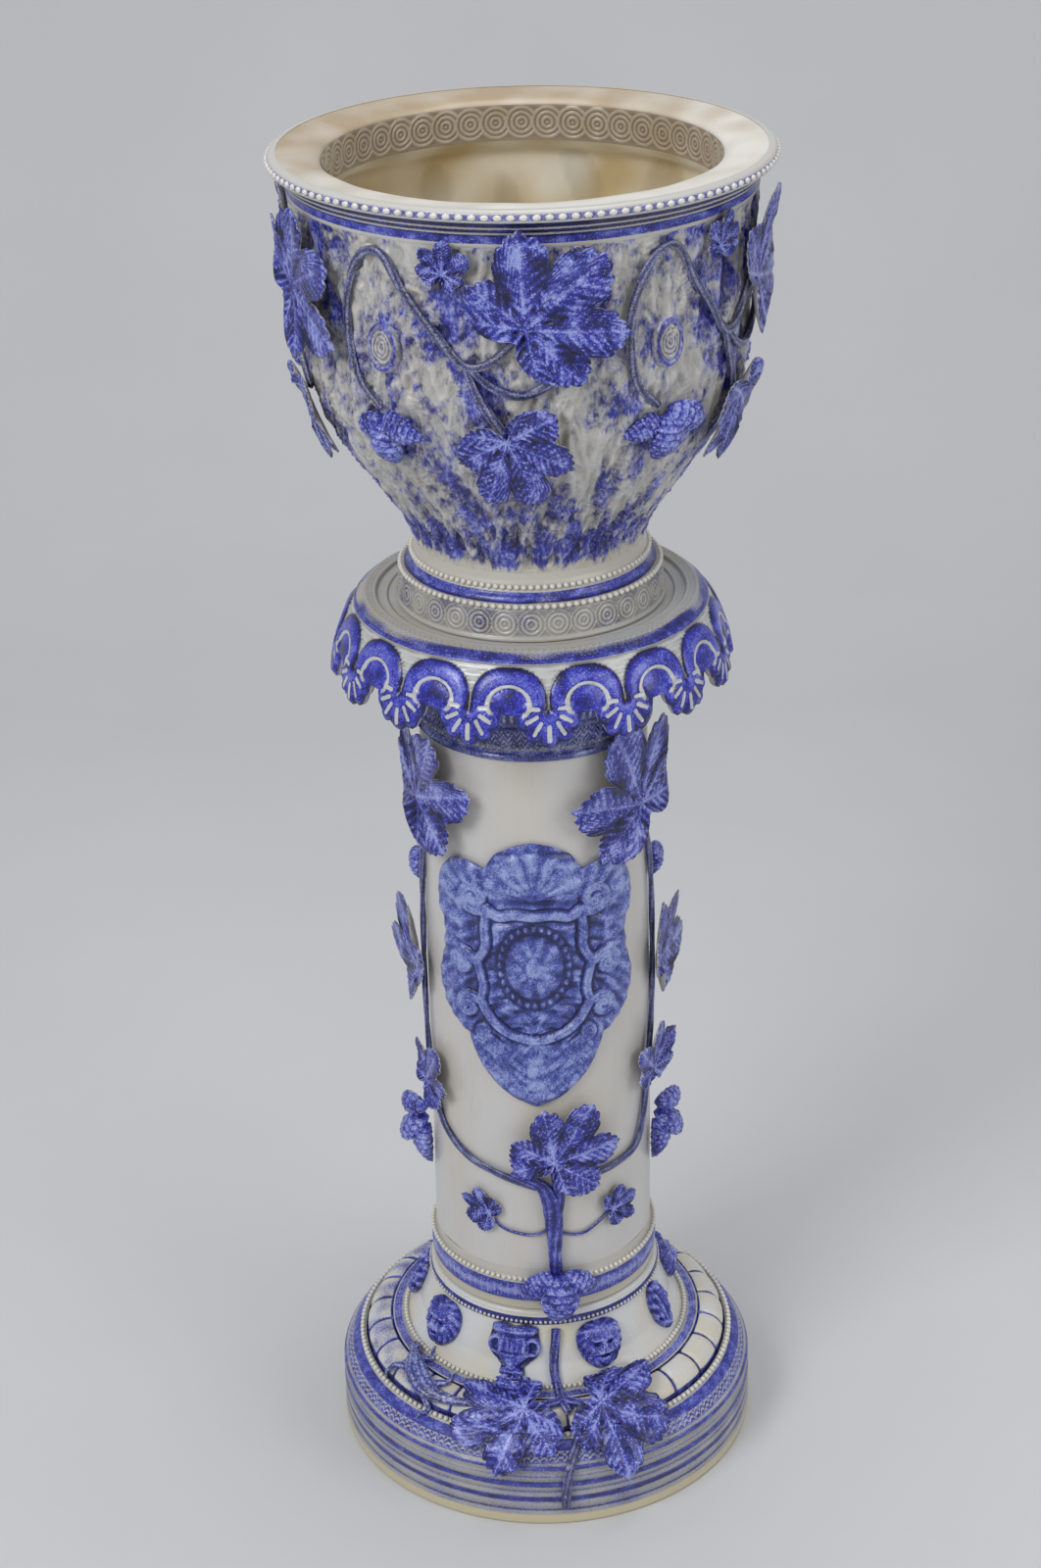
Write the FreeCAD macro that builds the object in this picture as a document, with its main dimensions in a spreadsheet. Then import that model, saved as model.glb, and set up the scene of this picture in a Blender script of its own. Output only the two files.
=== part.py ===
import FreeCAD, Part
import math
import os

# Jardiniere on a pedestal in salt-glazed stoneware: a pot, a column with its capital, and a
# round base.  +Z is up and the origin is the centre of the face that stands on the floor.

Vector = FreeCAD.Vector
doc = FreeCAD.newDocument("JardiniereOnStand")

# ---------------------------------------------------------------- driving dimensions, in mm
SIZES = [
    # base
    ("base_radius", 195), ("base_height", 173), ("base_wall", 12), ("drum_height", 65),
    ("drum_foot_radius", 195.5), ("band_rise", 11), ("gadroon_outer_radius", 173),
    ("gadroon_inner_radius", 146), ("gadroon_height", 105), ("gadroon_rise", 18),
    ("gadroon_swell", 7),
    ("gadroon_count", 28), ("gadroon_gap", 2.6), ("cone_foot_radius", 131),
    ("cone_top_radius", 107), ("cone_hollow", 5), ("bead", 2.5),
    ("register_height", 6), ("register_clearance", 1.5), ("register_wall", 10),
    # column
    ("column_height", 661), ("column_foot_radius", 105), ("column_bore", 88),
    ("shaft_low_radius", 101.5), ("shaft_top_radius", 99.5), ("foot_band_height", 32),
    ("neck_height", 558), ("neck_roll", 4.5), ("neck_band", 17), ("capital_flare_radius", 122),
    # capital plate and apron
    ("plate_core_radius", 143), ("plate_core_height", 8), ("plate_radius", 152),
    ("plate_floor", 12), ("recess_radius", 131), ("recess_depth", 5), ("rim_ring", 10),
    ("step_width", 9), ("step_height", 1.5), ("apron_radius", 170.5), ("apron_drop", 64),
    ("apron_wall", 7), ("apron_swell", 5), ("apron_count", 16), ("apron_panels", 3),
    ("apron_relief", 3),
    ("scallop_rise", 34), ("scallop_half_width", 7.5), ("arch_half_width", 21.5),
    ("arch_half_height", 15), ("arch_band", 6.5), ("petal_length", 27), ("petal_width", 8),
    # pot
    ("pot_height", 384), ("pot_foot_radius", 115.5), ("foot_height", 47), ("waist_radius", 97.5),
    ("bowl_low_radius", 120), ("bowl_low_height", 98), ("bowl_mid_radius", 144),
    ("bowl_mid_height", 135), ("belly_radius", 182), ("belly_height", 234),
    ("belly_swell", 8.5), ("shoulder_radius", 189), ("pot_wall", 14), ("rim_radius", 206),
    ("lip_height", 10), ("fillet_height", 22), ("mouth_radius", 160), ("frieze_height", 26),
    ("pot_floor", 16), ("foot_hollow_height", 64), ("bay_count", 5),
    ("knot_width", 26), ("knot_height", 38), ("knot_level", 266), ("knot_proud", 5),
    # applied sprigs
    ("seat_gap", 0.45), ("drape_gap", 1.0), ("cartouche_gap", 0.8), ("leaf_gap", 0.6),
    ("drape_leaf_gap", 1.0), ("leaf_thickness", 3.2), ("vine_width", 7), ("vine_proud", 5),
    ("hop_length", 30), ("hop_width", 21), ("hop_fullness", 0.66), ("pot_leaf_size", 86),
    ("lower_leaf_size", 62), ("small_leaf_size", 30), ("front_leaf_size", 66),
    ("upper_leaf_size", 88),
    ("curled_leaf_size", 66), ("side_leaf_size", 46), ("base_leaf_size", 72),
    ("cartouche_width", 190), ("cartouche_height", 262), ("cartouche_proud", 9),
    ("mask_size", 34), ("urn_size", 38), ("acanthus_size", 36), ("lizard_length", 128),
]
sheet = doc.addObject("Spreadsheet::Sheet", "sizes")
for row, (alias, value) in enumerate(SIZES, start=1):
    sheet.set("A%d" % row, alias)
    sheet.set("B%d" % row, str(value))
    sheet.setAlias("B%d" % row, alias)
doc.recompute()


class Dim:
    """A size that keeps its sheet expression and its number side by side."""

    def __init__(self, text, number):
        self.text = text
        self.number = number

    def _joined(self, sign, other, number):
        return Dim("(%s %s %s)" % (self.text, sign, other.text), number)

    def __add__(self, other):
        other = dim(other)
        return self._joined("+", other, self.number + other.number)

    def __sub__(self, other):
        other = dim(other)
        return self._joined("-", other, self.number - other.number)

    def __mul__(self, other):
        other = dim(other)
        return self._joined("*", other, self.number * other.number)

    def __truediv__(self, other):
        other = dim(other)
        return self._joined("/", other, self.number / other.number)

    def __radd__(self, other):
        return dim(other) + self

    def __rsub__(self, other):
        return dim(other) - self

    def __rmul__(self, other):
        return dim(other) * self


def dim(value):
    """A plain number as a Dim, or the Dim itself."""
    if isinstance(value, Dim):
        return value
    return Dim("%.6f" % value, float(value))


def cell(alias):
    """The Dim of one cell of the sheet."""
    return Dim("sizes." + alias, float(sheet.get(alias)))


def size(alias):
    """The number in one cell of the sheet."""
    return float(sheet.get(alias))


# ---------------------------------------------------------------- sketches of turned profiles
def arc_data(start, end, swell):
    """Centre and radius of the arc from start to end that bulges by swell to the right."""
    chord = end - start
    right = Vector(chord.y, -chord.x, 0).normalize()
    radius = (chord.Length ** 2 / 4 + swell ** 2) / (2 * abs(swell))
    toward = swell - math.copysign(radius, swell)
    return (start + end) / 2 + right * toward, radius


def corner(radius, height, swell=0):
    """A corner of a profile; swell is the bulge of the side that arrives at it."""
    return dim(radius), dim(height), dim(swell)


def origin_plane(body, role):
    for feature in body.Origin.OriginFeatures:
        if feature.Role == role:
            return feature
    raise ValueError("no plane " + role)


def pin(sketch, geometry, point, axis, value):
    """Ties one coordinate of a sketch point to its sheet expression."""
    if abs(value.number) < 1e-9:
        sketch.addConstraint(make_constraint("PointOnObject", geometry, point,
                                             -2 if axis == "X" else -1))
        return
    index = sketch.addConstraint(
        make_constraint("Distance" + axis, -1, 1, geometry, point, value.number))
    sketch.setExpression("Constraints[%d]" % index, value.text)


def make_constraint(*arguments):
    import Sketcher
    return Sketcher.Constraint(*arguments)


def profile_sketch(body, name, corners):
    """A closed profile on the body's XZ plane, every corner pinned to the sheet."""
    sketch = body.newObject("Sketcher::SketchObject", name)
    sketch.AttachmentSupport = (origin_plane(body, "XZ_Plane"), [""])
    sketch.MapMode = "FlatFace"
    ends = []
    for index, (x, y, _) in enumerate(corners):
        next_x, next_y, swell = corners[(index + 1) % len(corners)]
        start = Vector(x.number, y.number, 0)
        end = Vector(next_x.number, next_y.number, 0)
        if swell.number == 0:
            sketch.addGeometry(Part.LineSegment(start, end), False)
            ends.append((1, 2))
            continue
        centre, radius = arc_data(start, end, swell.number)
        first, last = (start, end) if swell.number > 0 else (end, start)
        angle_first = math.atan2(first.y - centre.y, first.x - centre.x)
        angle_last = math.atan2(last.y - centre.y, last.x - centre.x)
        circle = Part.Circle(centre, Vector(0, 0, 1), radius)
        sketch.addGeometry(Part.ArcOfCircle(circle, angle_first, angle_last), False)
        ends.append((1, 2) if swell.number > 0 else (2, 1))
    for index, (x, y, _) in enumerate(corners):
        after = (index + 1) % len(corners)
        pin(sketch, index, ends[index][0], "X", x)
        pin(sketch, index, ends[index][0], "Y", y)
        sketch.addConstraint(
            make_constraint("Coincident", index, ends[index][1], after, ends[after][0]))
        next_x, next_y, swell = corners[after]
        if swell.number:
            across, along = next_x - x, next_y - y
            radius = ((across * across + along * along) / 4 + swell * swell) / (2 * swell)
            if swell.number < 0:
                radius = 0 - radius
            number = sketch.addConstraint(make_constraint("Radius", index, radius.number))
            sketch.setExpression("Constraints[%d]" % number, radius.text)
    return sketch


def turned_body(name, corners, seat):
    """A body turned about +Z from its profile, standing at the height seat."""
    body = doc.addObject("PartDesign::Body", name)
    body.Label = name
    sketch = profile_sketch(body, name + "_profile", corners)
    turn = body.newObject("PartDesign::Revolution", name + "_turn")
    turn.Profile = sketch
    turn.ReferenceAxis = (sketch, ["V_Axis"])
    turn.Angle = 360
    sketch.Visibility = False
    body.setExpression("Placement.Base.z", dim(seat).text)
    doc.recompute()
    return body


class Wall:
    """The outer face of a turned piece, on which sprigs are placed by angle and height."""

    def __init__(self, corners, seat):
        self.points = []
        for index, (x, y, swell) in enumerate(corners):
            here = Vector(x.number, y.number + seat, 0)
            if index and swell.number:
                start = self.points[-1]
                right = Vector(here.y - start.y, start.x - here.x, 0).normalize()
                for step in range(1, 6):
                    share = step / 6
                    bulge = swell.number * 4 * share * (1 - share)
                    self.points.append(start + (here - start) * share + right * bulge)
            self.points.append(here)
        self.lengths = [0.0]
        for before, after in zip(self.points, self.points[1:]):
            self.lengths.append(self.lengths[-1] + (after - before).Length)

    def along(self, height):
        """Length along the profile at which it reaches a height."""
        for index in range(1, len(self.points)):
            low, high = self.points[index - 1].y, self.points[index].y
            if low <= height <= high and high > low:
                share = (height - low) / (high - low)
                step = self.lengths[index] - self.lengths[index - 1]
                return self.lengths[index - 1] + share * step
        return 0.0 if height < self.points[0].y else self.lengths[-1]

    def spot(self, length):
        """Profile point at a length, continued straight past both ends."""
        index = 1
        while index < len(self.lengths) - 1 and self.lengths[index] < length:
            index += 1
        step = self.lengths[index] - self.lengths[index - 1]
        share = (length - self.lengths[index - 1]) / step
        return self.points[index - 1] + (self.points[index] - self.points[index - 1]) * share

    def normal(self, length, reach=9.0):
        """Outward direction of the profile, smoothed over a short reach."""
        run = self.spot(length + reach) - self.spot(length - reach)
        return Vector(run.y, -run.x, 0).normalize()

    def place(self, angle, length, across, up, proud):
        """Point at an angle and a length, moved across and up the wall and out of it."""
        profile = self.spot(length + up)
        outward = self.normal(length + up)
        radius = profile.x + outward.x * proud
        turn = math.radians(angle) + across / profile.x
        return Vector(radius * math.sin(turn), -radius * math.cos(turn),
                      profile.y + outward.y * proud)


# ---------------------------------------------------------------- sprigs: clay pressed in moulds
def closed_solid(points, triangles):
    """A solid from points and the triangles between them."""
    shape = Part.Shape()
    shape.makeShapeFromMesh((points, triangles), 0.01)
    solid = Part.makeSolid(Part.makeShell(shape.Faces))
    if solid.Volume < 0:
        solid.reverse()
    return solid


def sprig(wall, angle, length, outline, front, back, front_rings=2, back_rings=1):
    """A relief with its back to the wall: outline is the (across, up) of each point of its edge.

    front(share, spoke) and back(share, spoke) give the heights over the wall from the middle
    (share 0) to the edge (share 1).
    """
    spokes = len(outline)
    points, triangles = [], []
    for surface, rings, side in ((front, front_rings, 1), (back, back_rings, -1)):
        middle = len(points)
        points.append(wall.place(angle, length, 0, 0, surface(0, 0)))
        for ring in range(1, rings + 1):
            share = ring / rings
            for spoke, (across, up) in enumerate(outline):
                points.append(wall.place(angle, length, across * share, up * share,
                                         surface(share, spoke)))
        for spoke in range(spokes):
            after = (spoke + 1) % spokes
            triangles.append((middle, middle + 1 + spoke, middle + 1 + after)[::side])
            for ring in range(1, rings):
                inner = middle + 1 + (ring - 1) * spokes
                outer = inner + spokes
                triangles.append((inner + spoke, outer + spoke, outer + after)[::side])
                triangles.append((inner + spoke, outer + after, inner + after)[::side])
    edge_front = 1 + (front_rings - 1) * spokes
    edge_back = edge_front + spokes + 1 + (back_rings - 1) * spokes
    for spoke in range(spokes):
        after = (spoke + 1) % spokes
        triangles.append((edge_front + spoke, edge_back + spoke, edge_back + after))
        triangles.append((edge_front + spoke, edge_back + after, edge_front + after))
    return closed_solid(points, triangles)


def rod(wall, stations, sides=6):
    """A tapering strand along the wall, resting on its lowest edge.

    A station is (angle, length, height of its underside over the wall, half width, height).
    """
    points, triangles = [], []
    last = len(stations) - 1
    for index, (angle, length, under, half_width, tall) in enumerate(stations):
        before = stations[max(index - 1, 0)]
        after = stations[min(index + 1, last)]
        radius = wall.spot(length).x
        run_across = math.radians(after[0] - before[0]) * radius
        run_up = after[1] - before[1]
        run = math.hypot(run_across, run_up)
        across, up = run_up / run, -run_across / run
        for side in range(sides):
            turn = 2 * math.pi * side / sides - math.pi / 2
            reach = half_width * math.cos(turn)
            proud = under + tall * (1 + math.sin(turn)) / 2
            points.append(wall.place(angle, length, across * reach, up * reach, proud))
    for index in range(last):
        for side in range(sides):
            here, there = index * sides + side, index * sides + (side + 1) % sides
            triangles.append((here, here + sides, there + sides))
            triangles.append((here, there + sides, there))
    first_cap, last_cap = range(sides), range(last * sides, (last + 1) * sides)
    for index in range(1, sides - 1):
        triangles.append((first_cap[0], first_cap[index], first_cap[index + 1]))
        triangles.append((last_cap[0], last_cap[index + 1], last_cap[index]))
    return closed_solid(points, triangles)


def joined(solids):
    """Strands and cones that grow out of one another as one solid."""
    whole = solids[0]
    if len(solids) > 1:
        whole = whole.multiFuse(solids[1:])
    return whole


# Lobes of a vine leaf as (turn from its tip in degrees, reach as a share of the leaf's length).
LEAF_EDGE = [(0, 1.0), (14, 0.8), (27, 0.62), (42, 0.9), (57, 0.68), (70, 0.56), (88, 0.74),
             (114, 0.5), (146, 0.34)]


def leaf(wall, angle, place, length, heading, lift=0.0, curl=0.2, fold=0.0):
    """A five-lobed leaf at an angle and a place along the wall.

    heading is where its tip points, counted from the right upwards.  curl raises the lobes'
    tips, and fold turns up the side that lies outward of the hub.
    """
    edge = LEAF_EDGE + [(180, 0.16)] + [(-turn, reach) for turn, reach in LEAF_EDGE[:0:-1]]
    outline = []
    for turn, reach in edge:
        way = math.radians(heading + turn)
        outline.append((reach * length * math.cos(way), reach * length * math.sin(way)))
    thickness = size("leaf_thickness")
    rest = size("seat_gap") + lift

    def back(share, spoke):
        across = outline[spoke][0] * share
        outward = max(0.0, across * math.copysign(1, fold)) / length
        return rest + curl * length * share ** 2 * 0.35 + abs(fold) * outward ** 2

    def front(share, spoke):
        return back(share, spoke) + thickness * (1 - 0.35 * share)

    return sprig(wall, angle, place, outline, front, back, 2, 2)


def hop_cone(wall, angle, height, heading, lift=0.0, scale=1.0):
    """A hop cone that hangs from (angle, height) and points along its heading."""
    length, width = size("hop_length") * scale, size("hop_width") * scale
    way = math.radians(heading)
    start = wall.along(height)
    radius = wall.spot(start).x
    stations = []
    for share, girth in ((0.0, 0.4), (0.2, 0.9), (0.5, 1.0), (0.8, 0.66), (1.0, 0.16)):
        across = length * share * math.cos(way)
        stations.append((angle + math.degrees(across / radius),
                         start + length * share * math.sin(way),
                         size("seat_gap") + lift, width / 2 * girth,
                         width * size("hop_fullness") * girth))
    return rod(wall, stations, sides=8)


def vine(wall, route, width_share=1.0, lift=0.0):
    """A rope-like stem laid along a smooth curve through a route of (angle, height)."""
    half = size("vine_width") / 2 * width_share
    tall = size("vine_proud") * width_share
    marks = [(angle, wall.along(height)) for angle, height in route]
    smooth = [marks[0]]
    for index in range(len(marks) - 1):
        first, last = marks[max(index - 1, 0)], marks[min(index + 2, len(marks) - 1)]
        start, end = marks[index], marks[index + 1]
        for share in (0.5, 1.0):
            smooth.append(tuple(
                0.5 * (2 * q + (r - p) * share + (2 * p - 5 * q + 4 * r - w) * share ** 2
                       + (3 * q - p - 3 * r + w) * share ** 3)
                for p, q, r, w in zip(first, start, end, last)))
    return rod(wall, [(angle, length, size("seat_gap") + lift, half, tall)
                      for angle, length in smooth])


def add_piece(name, shape):
    """A sprig as a named piece of the document."""
    piece = doc.addObject("Part::Feature", name)
    piece.Label = name
    piece.Shape = shape
    piece.Placement = FreeCAD.Placement()
    return piece


pieces = []

# ---------------------------------------------------------------- base: thrown ring with a drum
bead = cell("bead")
drum_top = cell("drum_height")
drum_foot = cell("drum_foot_radius")
ring_low = cell("gadroon_height") - cell("gadroon_rise")
base_outer = [
    corner(drum_foot - 2, 0),
    corner(drum_foot, 2),
    corner(cell("base_radius"), drum_top - 3),
    corner(cell("base_radius") - 4, drum_top + 1),
    corner(cell("base_radius") - 9, drum_top + cell("band_rise")),
    corner(cell("gadroon_outer_radius") + 2 * bead, ring_low - 4),
    corner(cell("gadroon_outer_radius") + bead, ring_low),
    corner(cell("gadroon_outer_radius"), ring_low),
    corner(cell("gadroon_inner_radius"), cell("gadroon_height"), cell("gadroon_swell")),
    corner(cell("cone_foot_radius") + 2 * bead, cell("gadroon_height") + 1),
    corner(cell("cone_foot_radius") + bead, cell("gadroon_height") + 2 * bead),
    corner(cell("cone_foot_radius"), cell("gadroon_height") + bead),
    corner(cell("cone_foot_radius") - cell("cone_hollow") * 2.4,
           cell("gadroon_height") + cell("cone_hollow") * 4),
    corner(cell("cone_top_radius"), cell("base_height") - 14),
    corner(cell("cone_top_radius") + bead / 2, cell("base_height") - 9),
    corner(cell("cone_top_radius") - 0.5, cell("base_height")),
]
register_radius = cell("column_bore") - cell("register_clearance")
base_inner = [
    corner(register_radius, cell("base_height")),
    corner(register_radius, cell("base_height") + cell("register_height")),
    corner(register_radius - cell("register_wall"),
           cell("base_height") + cell("register_height")),
    corner(register_radius - cell("register_wall"), cell("base_height") - 8),
    corner(cell("cone_top_radius") - cell("base_wall"), cell("base_height") - 20),
    corner(cell("cone_foot_radius") - 1.5 * cell("base_wall"), cell("gadroon_height") - 5),
    corner(cell("gadroon_outer_radius") - 8, cell("drum_height") + 12),
    corner(cell("base_radius") - cell("base_wall"), cell("drum_height") - cell("base_wall")),
    corner(cell("base_radius") - cell("base_wall"), 0),
]
base = turned_body("base", base_outer + base_inner, 0)

# The puffed panels of the ring are parted by radial channels, patterned round the axis.
channel = base.newObject("Sketcher::SketchObject", "channel_outline")
channel.AttachmentSupport = (origin_plane(base, "XZ_Plane"), [""])
channel.MapMode = "FlatFace"
channel.AttachmentOffset = FreeCAD.Placement(Vector(0, 0, 0), Vector(0, 1, 0), 5)
channel.setExpression("AttachmentOffset.Rotation.Angle", "180 / sizes.gadroon_count")
channel_inner = (cell("gadroon_inner_radius"), cell("gadroon_height") + 1)
channel_outer = (cell("gadroon_outer_radius") + 1, ring_low)
channel_back = (cell("gadroon_outer_radius") + 1, cell("gadroon_height") + 1 + bead * 2)
channel_corners = [channel_inner, channel_outer, channel_back]
for index, (x, y) in enumerate(channel_corners):
    next_x, next_y = channel_corners[(index + 1) % 3]
    channel.addGeometry(Part.LineSegment(Vector(x.number, y.number, 0),
                                         Vector(next_x.number, next_y.number, 0)), False)
for index, (x, y) in enumerate(channel_corners):
    channel.addConstraint(make_constraint("Coincident", index, 2, (index + 1) % 3, 1))
    pin(channel, index, 1, "X", x)
    pin(channel, index, 1, "Y", y)
doc.recompute()
cut = base.newObject("PartDesign::Pocket", "channel_cut")
cut.Profile = channel
cut.Midplane = True
cut.setExpression("Length", "sizes.gadroon_gap")
channel.Visibility = False
doc.recompute()
panels = base.newObject("PartDesign::PolarPattern", "panel_channels")
panels.Originals = [cut]
panels.Axis = (doc.getObject("base_profile"), ["V_Axis"])
panels.Angle = 360
panels.setExpression("Occurrences", "sizes.gadroon_count")
base.Tip = panels
doc.recompute()
if not 0 < panels.Shape.Volume < cut.Shape.Volume:
    raise ValueError("the channels of the ring cut nothing")
pieces.append(base)

# ---------------------------------------------------------------- column: thrown tube with bands
column_seat = cell("base_height")
foot = cell("column_foot_radius")
neck = cell("neck_height")
neck_top = neck + 2 * cell("neck_roll") + 2
column_outer = [
    corner(foot - 1, 0),
    corner(foot - 1, 10),
    corner(foot + 0.5, 11),
    corner(foot + 0.5, cell("foot_band_height") - 2),
    corner(foot - 0.5, cell("foot_band_height") + 2),
    corner(cell("shaft_low_radius"), cell("foot_band_height") + 4),
    corner(cell("shaft_top_radius"), neck),
    corner(cell("shaft_top_radius") + cell("neck_roll"), neck + cell("neck_roll") * 0.4),
    corner(cell("shaft_top_radius") + cell("neck_roll"), neck + cell("neck_roll") * 1.5),
    corner(cell("shaft_top_radius"), neck + 2 * cell("neck_roll")),
    corner(cell("shaft_top_radius") + 2, neck_top + 2),
    corner(cell("shaft_top_radius") + 3, neck_top + 3 + cell("neck_band")),
    corner(cell("shaft_top_radius") + 1.5, neck_top + 5 + cell("neck_band")),
    corner(cell("shaft_top_radius") + 5, neck_top + 6 + 2 * cell("neck_band")),
    corner(cell("capital_flare_radius"), cell("column_height")),
]
column_inner = [
    corner(cell("column_bore"), cell("column_height")),
    corner(cell("column_bore"), 0),
]
pieces.append(turned_body("column_shaft", column_outer + column_inner, column_seat))

# ---------------------------------------------------------------- capital: plate with a recess
plate_seat = column_seat + cell("column_height")
flange = cell("plate_core_height")
rim_top = cell("plate_floor") + cell("recess_depth")
inner_ring = cell("recess_radius") + 2
plate_outer = [
    corner(0, 0),
    corner(cell("plate_core_radius"), 0),
    corner(cell("plate_core_radius"), flange),
    corner(cell("plate_radius"), flange),
    corner(cell("plate_radius") - 1, flange + 2),
    corner(inner_ring + cell("rim_ring"), rim_top),
    corner(inner_ring, rim_top),
    corner(cell("recess_radius"), rim_top - 2),
    corner(cell("recess_radius"), cell("plate_floor") + cell("step_height")),
    corner(cell("recess_radius") - cell("step_width"),
           cell("plate_floor") + cell("step_height")),
    corner(cell("recess_radius") - cell("step_width"), cell("plate_floor")),
    corner(0, cell("plate_floor")),
]
pieces.append(turned_body("capital_plate", plate_outer, plate_seat))


# ---------------------------------------------------------------- capital: scalloped apron
AXIS_START, AXIS_UP = Vector(0, 0, 0), Vector(0, 0, 1)
repeats = int(round(size("apron_count")))
pitch = 360.0 / repeats
front_y = -size("apron_radius") - size("apron_relief") - 5
tip_level = -size("apron_drop")
half_pitch = size("apron_radius") * math.sin(math.pi / repeats)


def bow(start, end, bulge, steps):
    """Points after start of a shallow arc to end that bows by bulge to the left."""
    run = end - start
    left = Vector(-run.z, 0, run.x)
    if bulge:
        left.normalize()
    marks = [index / steps for index in range(1, steps + 1)]
    return [start + run * mark + left * (4 * bulge * mark * (1 - mark)) for mark in marks]


def apron_wedge(proud, depth):
    """One repeat of the apron's wall in flat panels, from its top joint to the tips."""
    top = Vector(size("plate_radius") - 1 + proud, 0, 0)
    tip = Vector(size("apron_radius") + proud, 0, tip_level)
    outer = [top] + bow(top, tip, size("apron_swell"), 3)
    section = outer + [point - Vector(depth, 0, 0) for point in reversed(outer)]
    panels = int(round(size("apron_panels")))
    turns = [-90 - pitch / 2 + pitch * index / panels for index in range(panels + 1)]
    rings = []
    for turn in turns:
        spin = FreeCAD.Rotation(AXIS_UP, turn)
        rings.append([spin.multVec(point) for point in section])
    faces = [Part.Face(Part.makePolygon(ring + ring[:1])) for ring in (rings[0], rings[-1])]
    for near, far in zip(rings, rings[1:]):
        for index in range(len(section)):
            corners = [near[index - 1], near[index], far[index], far[index - 1]]
            faces.append(Part.Face(Part.makePolygon(corners + corners[:1])))
    wedge = Part.makeSolid(Part.makeShell(faces))
    if wedge.Volume < 0:
        wedge.reverse()
    return wedge


def front_prism(points, steps=3):
    """A flat outline in front of the apron, carried back through its wall.

    points are (x, z, bulge): bulge is how far the side that arrives there bows to its left.
    """
    outline = []
    for index, (x, z, bulge) in enumerate(points):
        before = Vector(points[index - 1][0], front_y, points[index - 1][1])
        outline += bow(before, Vector(x, front_y, z), bulge, steps if bulge else 1)
    face = Part.Face(Part.makePolygon(outline + outline[:1]))
    return face.extrude(Vector(0, size("apron_radius") / 2, 0))


# The scalloped lower edge: a rounded gap between the tongues of two neighbouring drops.
gap_half = size("scallop_half_width")
gap_top = tip_level + size("scallop_rise") - 6
lobe_x = (half_pitch + gap_half) / 2
scallop = front_prism([
    (-half_pitch, tip_level, 0), (-lobe_x, tip_level + 7, 3.5),
    (-gap_half, gap_top - 8, -3), (gap_half, gap_top - 8, 7),
    (lobe_x, tip_level + 7, -3), (half_pitch, tip_level, 3.5),
    (half_pitch, tip_level - 5, 0), (-half_pitch, tip_level - 5, 0)])
wall_wedge = apron_wedge(0, size("apron_wall"))
relief_wedge = apron_wedge(size("apron_relief"), size("apron_relief") + size("apron_wall") / 2)

# A horseshoe arch stands over the gap.
arch_x, arch_z = size("arch_half_width"), size("arch_half_height")
band = size("arch_band")
arch_foot = -2 * arch_z - 3
arch = front_prism([
    (arch_x, arch_foot, 0), (arch_x, arch_foot + arch_z, -2),
    (-arch_x, arch_foot + arch_z, -arch_z * 0.9), (-arch_x, arch_foot, -2),
    (-arch_x + band, arch_foot, 1.5), (-arch_x + band, arch_foot + arch_z - 2, 2),
    (arch_x - band, arch_foot + arch_z - 2, arch_z * 0.9 - band / 1.6),
    (arch_x - band, arch_foot, 2)])
reliefs = [arch]

# Half of a five-petalled drop hangs on each side of the repeat.
root = tip_level + size("petal_length") + 7
for side in (-1, 1):
    for tilt, share in ((0, 1.0), (34, 0.86), (66, 0.7)):
        reach, half = size("petal_length") * share, size("petal_width") / 2
        way = math.radians(-side * tilt)
        tip = (math.sin(way) * reach, root - math.cos(way) * reach)
        petal = front_prism([(0, root, half), tip + (half,)])
        reliefs.append(petal.rotated(AXIS_START, AXIS_UP, side * pitch / 2))
reliefs = [form.common(relief_wedge) for form in reliefs]
repeat_solid = wall_wedge.multiFuse(reliefs).cut(scallop).removeSplitter()


def is_joint(face):
    """Whether a face lies on one of the two planes between neighbouring repeats."""
    for edge_turn in (-pitch / 2, pitch / 2):
        way = math.radians(-90 + edge_turn)
        normal = Vector(-math.sin(way), math.cos(way), 0)
        if all(abs(vertex.Point.dot(normal)) < 1e-4 for vertex in face.Vertexes):
            return True
    return False


outer_faces = [face for face in repeat_solid.Faces if not is_joint(face)]
first_turn = 4.3 - pitch / 2
apron_faces = []
for repeat in range(repeats):
    turn = first_turn + repeat * pitch
    apron_faces += [face.rotated(AXIS_START, AXIS_UP, turn) for face in outer_faces]
apron_shell = Part.makeShell(apron_faces)
apron_shape = Part.makeSolid(apron_shell)
if apron_shape.Volume < 0:
    apron_shape.reverse()
if not 0.99 < apron_shape.Volume / (repeats * repeat_solid.Volume) < 1.01:
    raise ValueError("the repeats of the apron don't close")
apron = add_piece("capital_apron", apron_shape)
apron.setExpression("Placement.Base.z", (plate_seat + flange).text)
pieces.append(apron)

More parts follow.
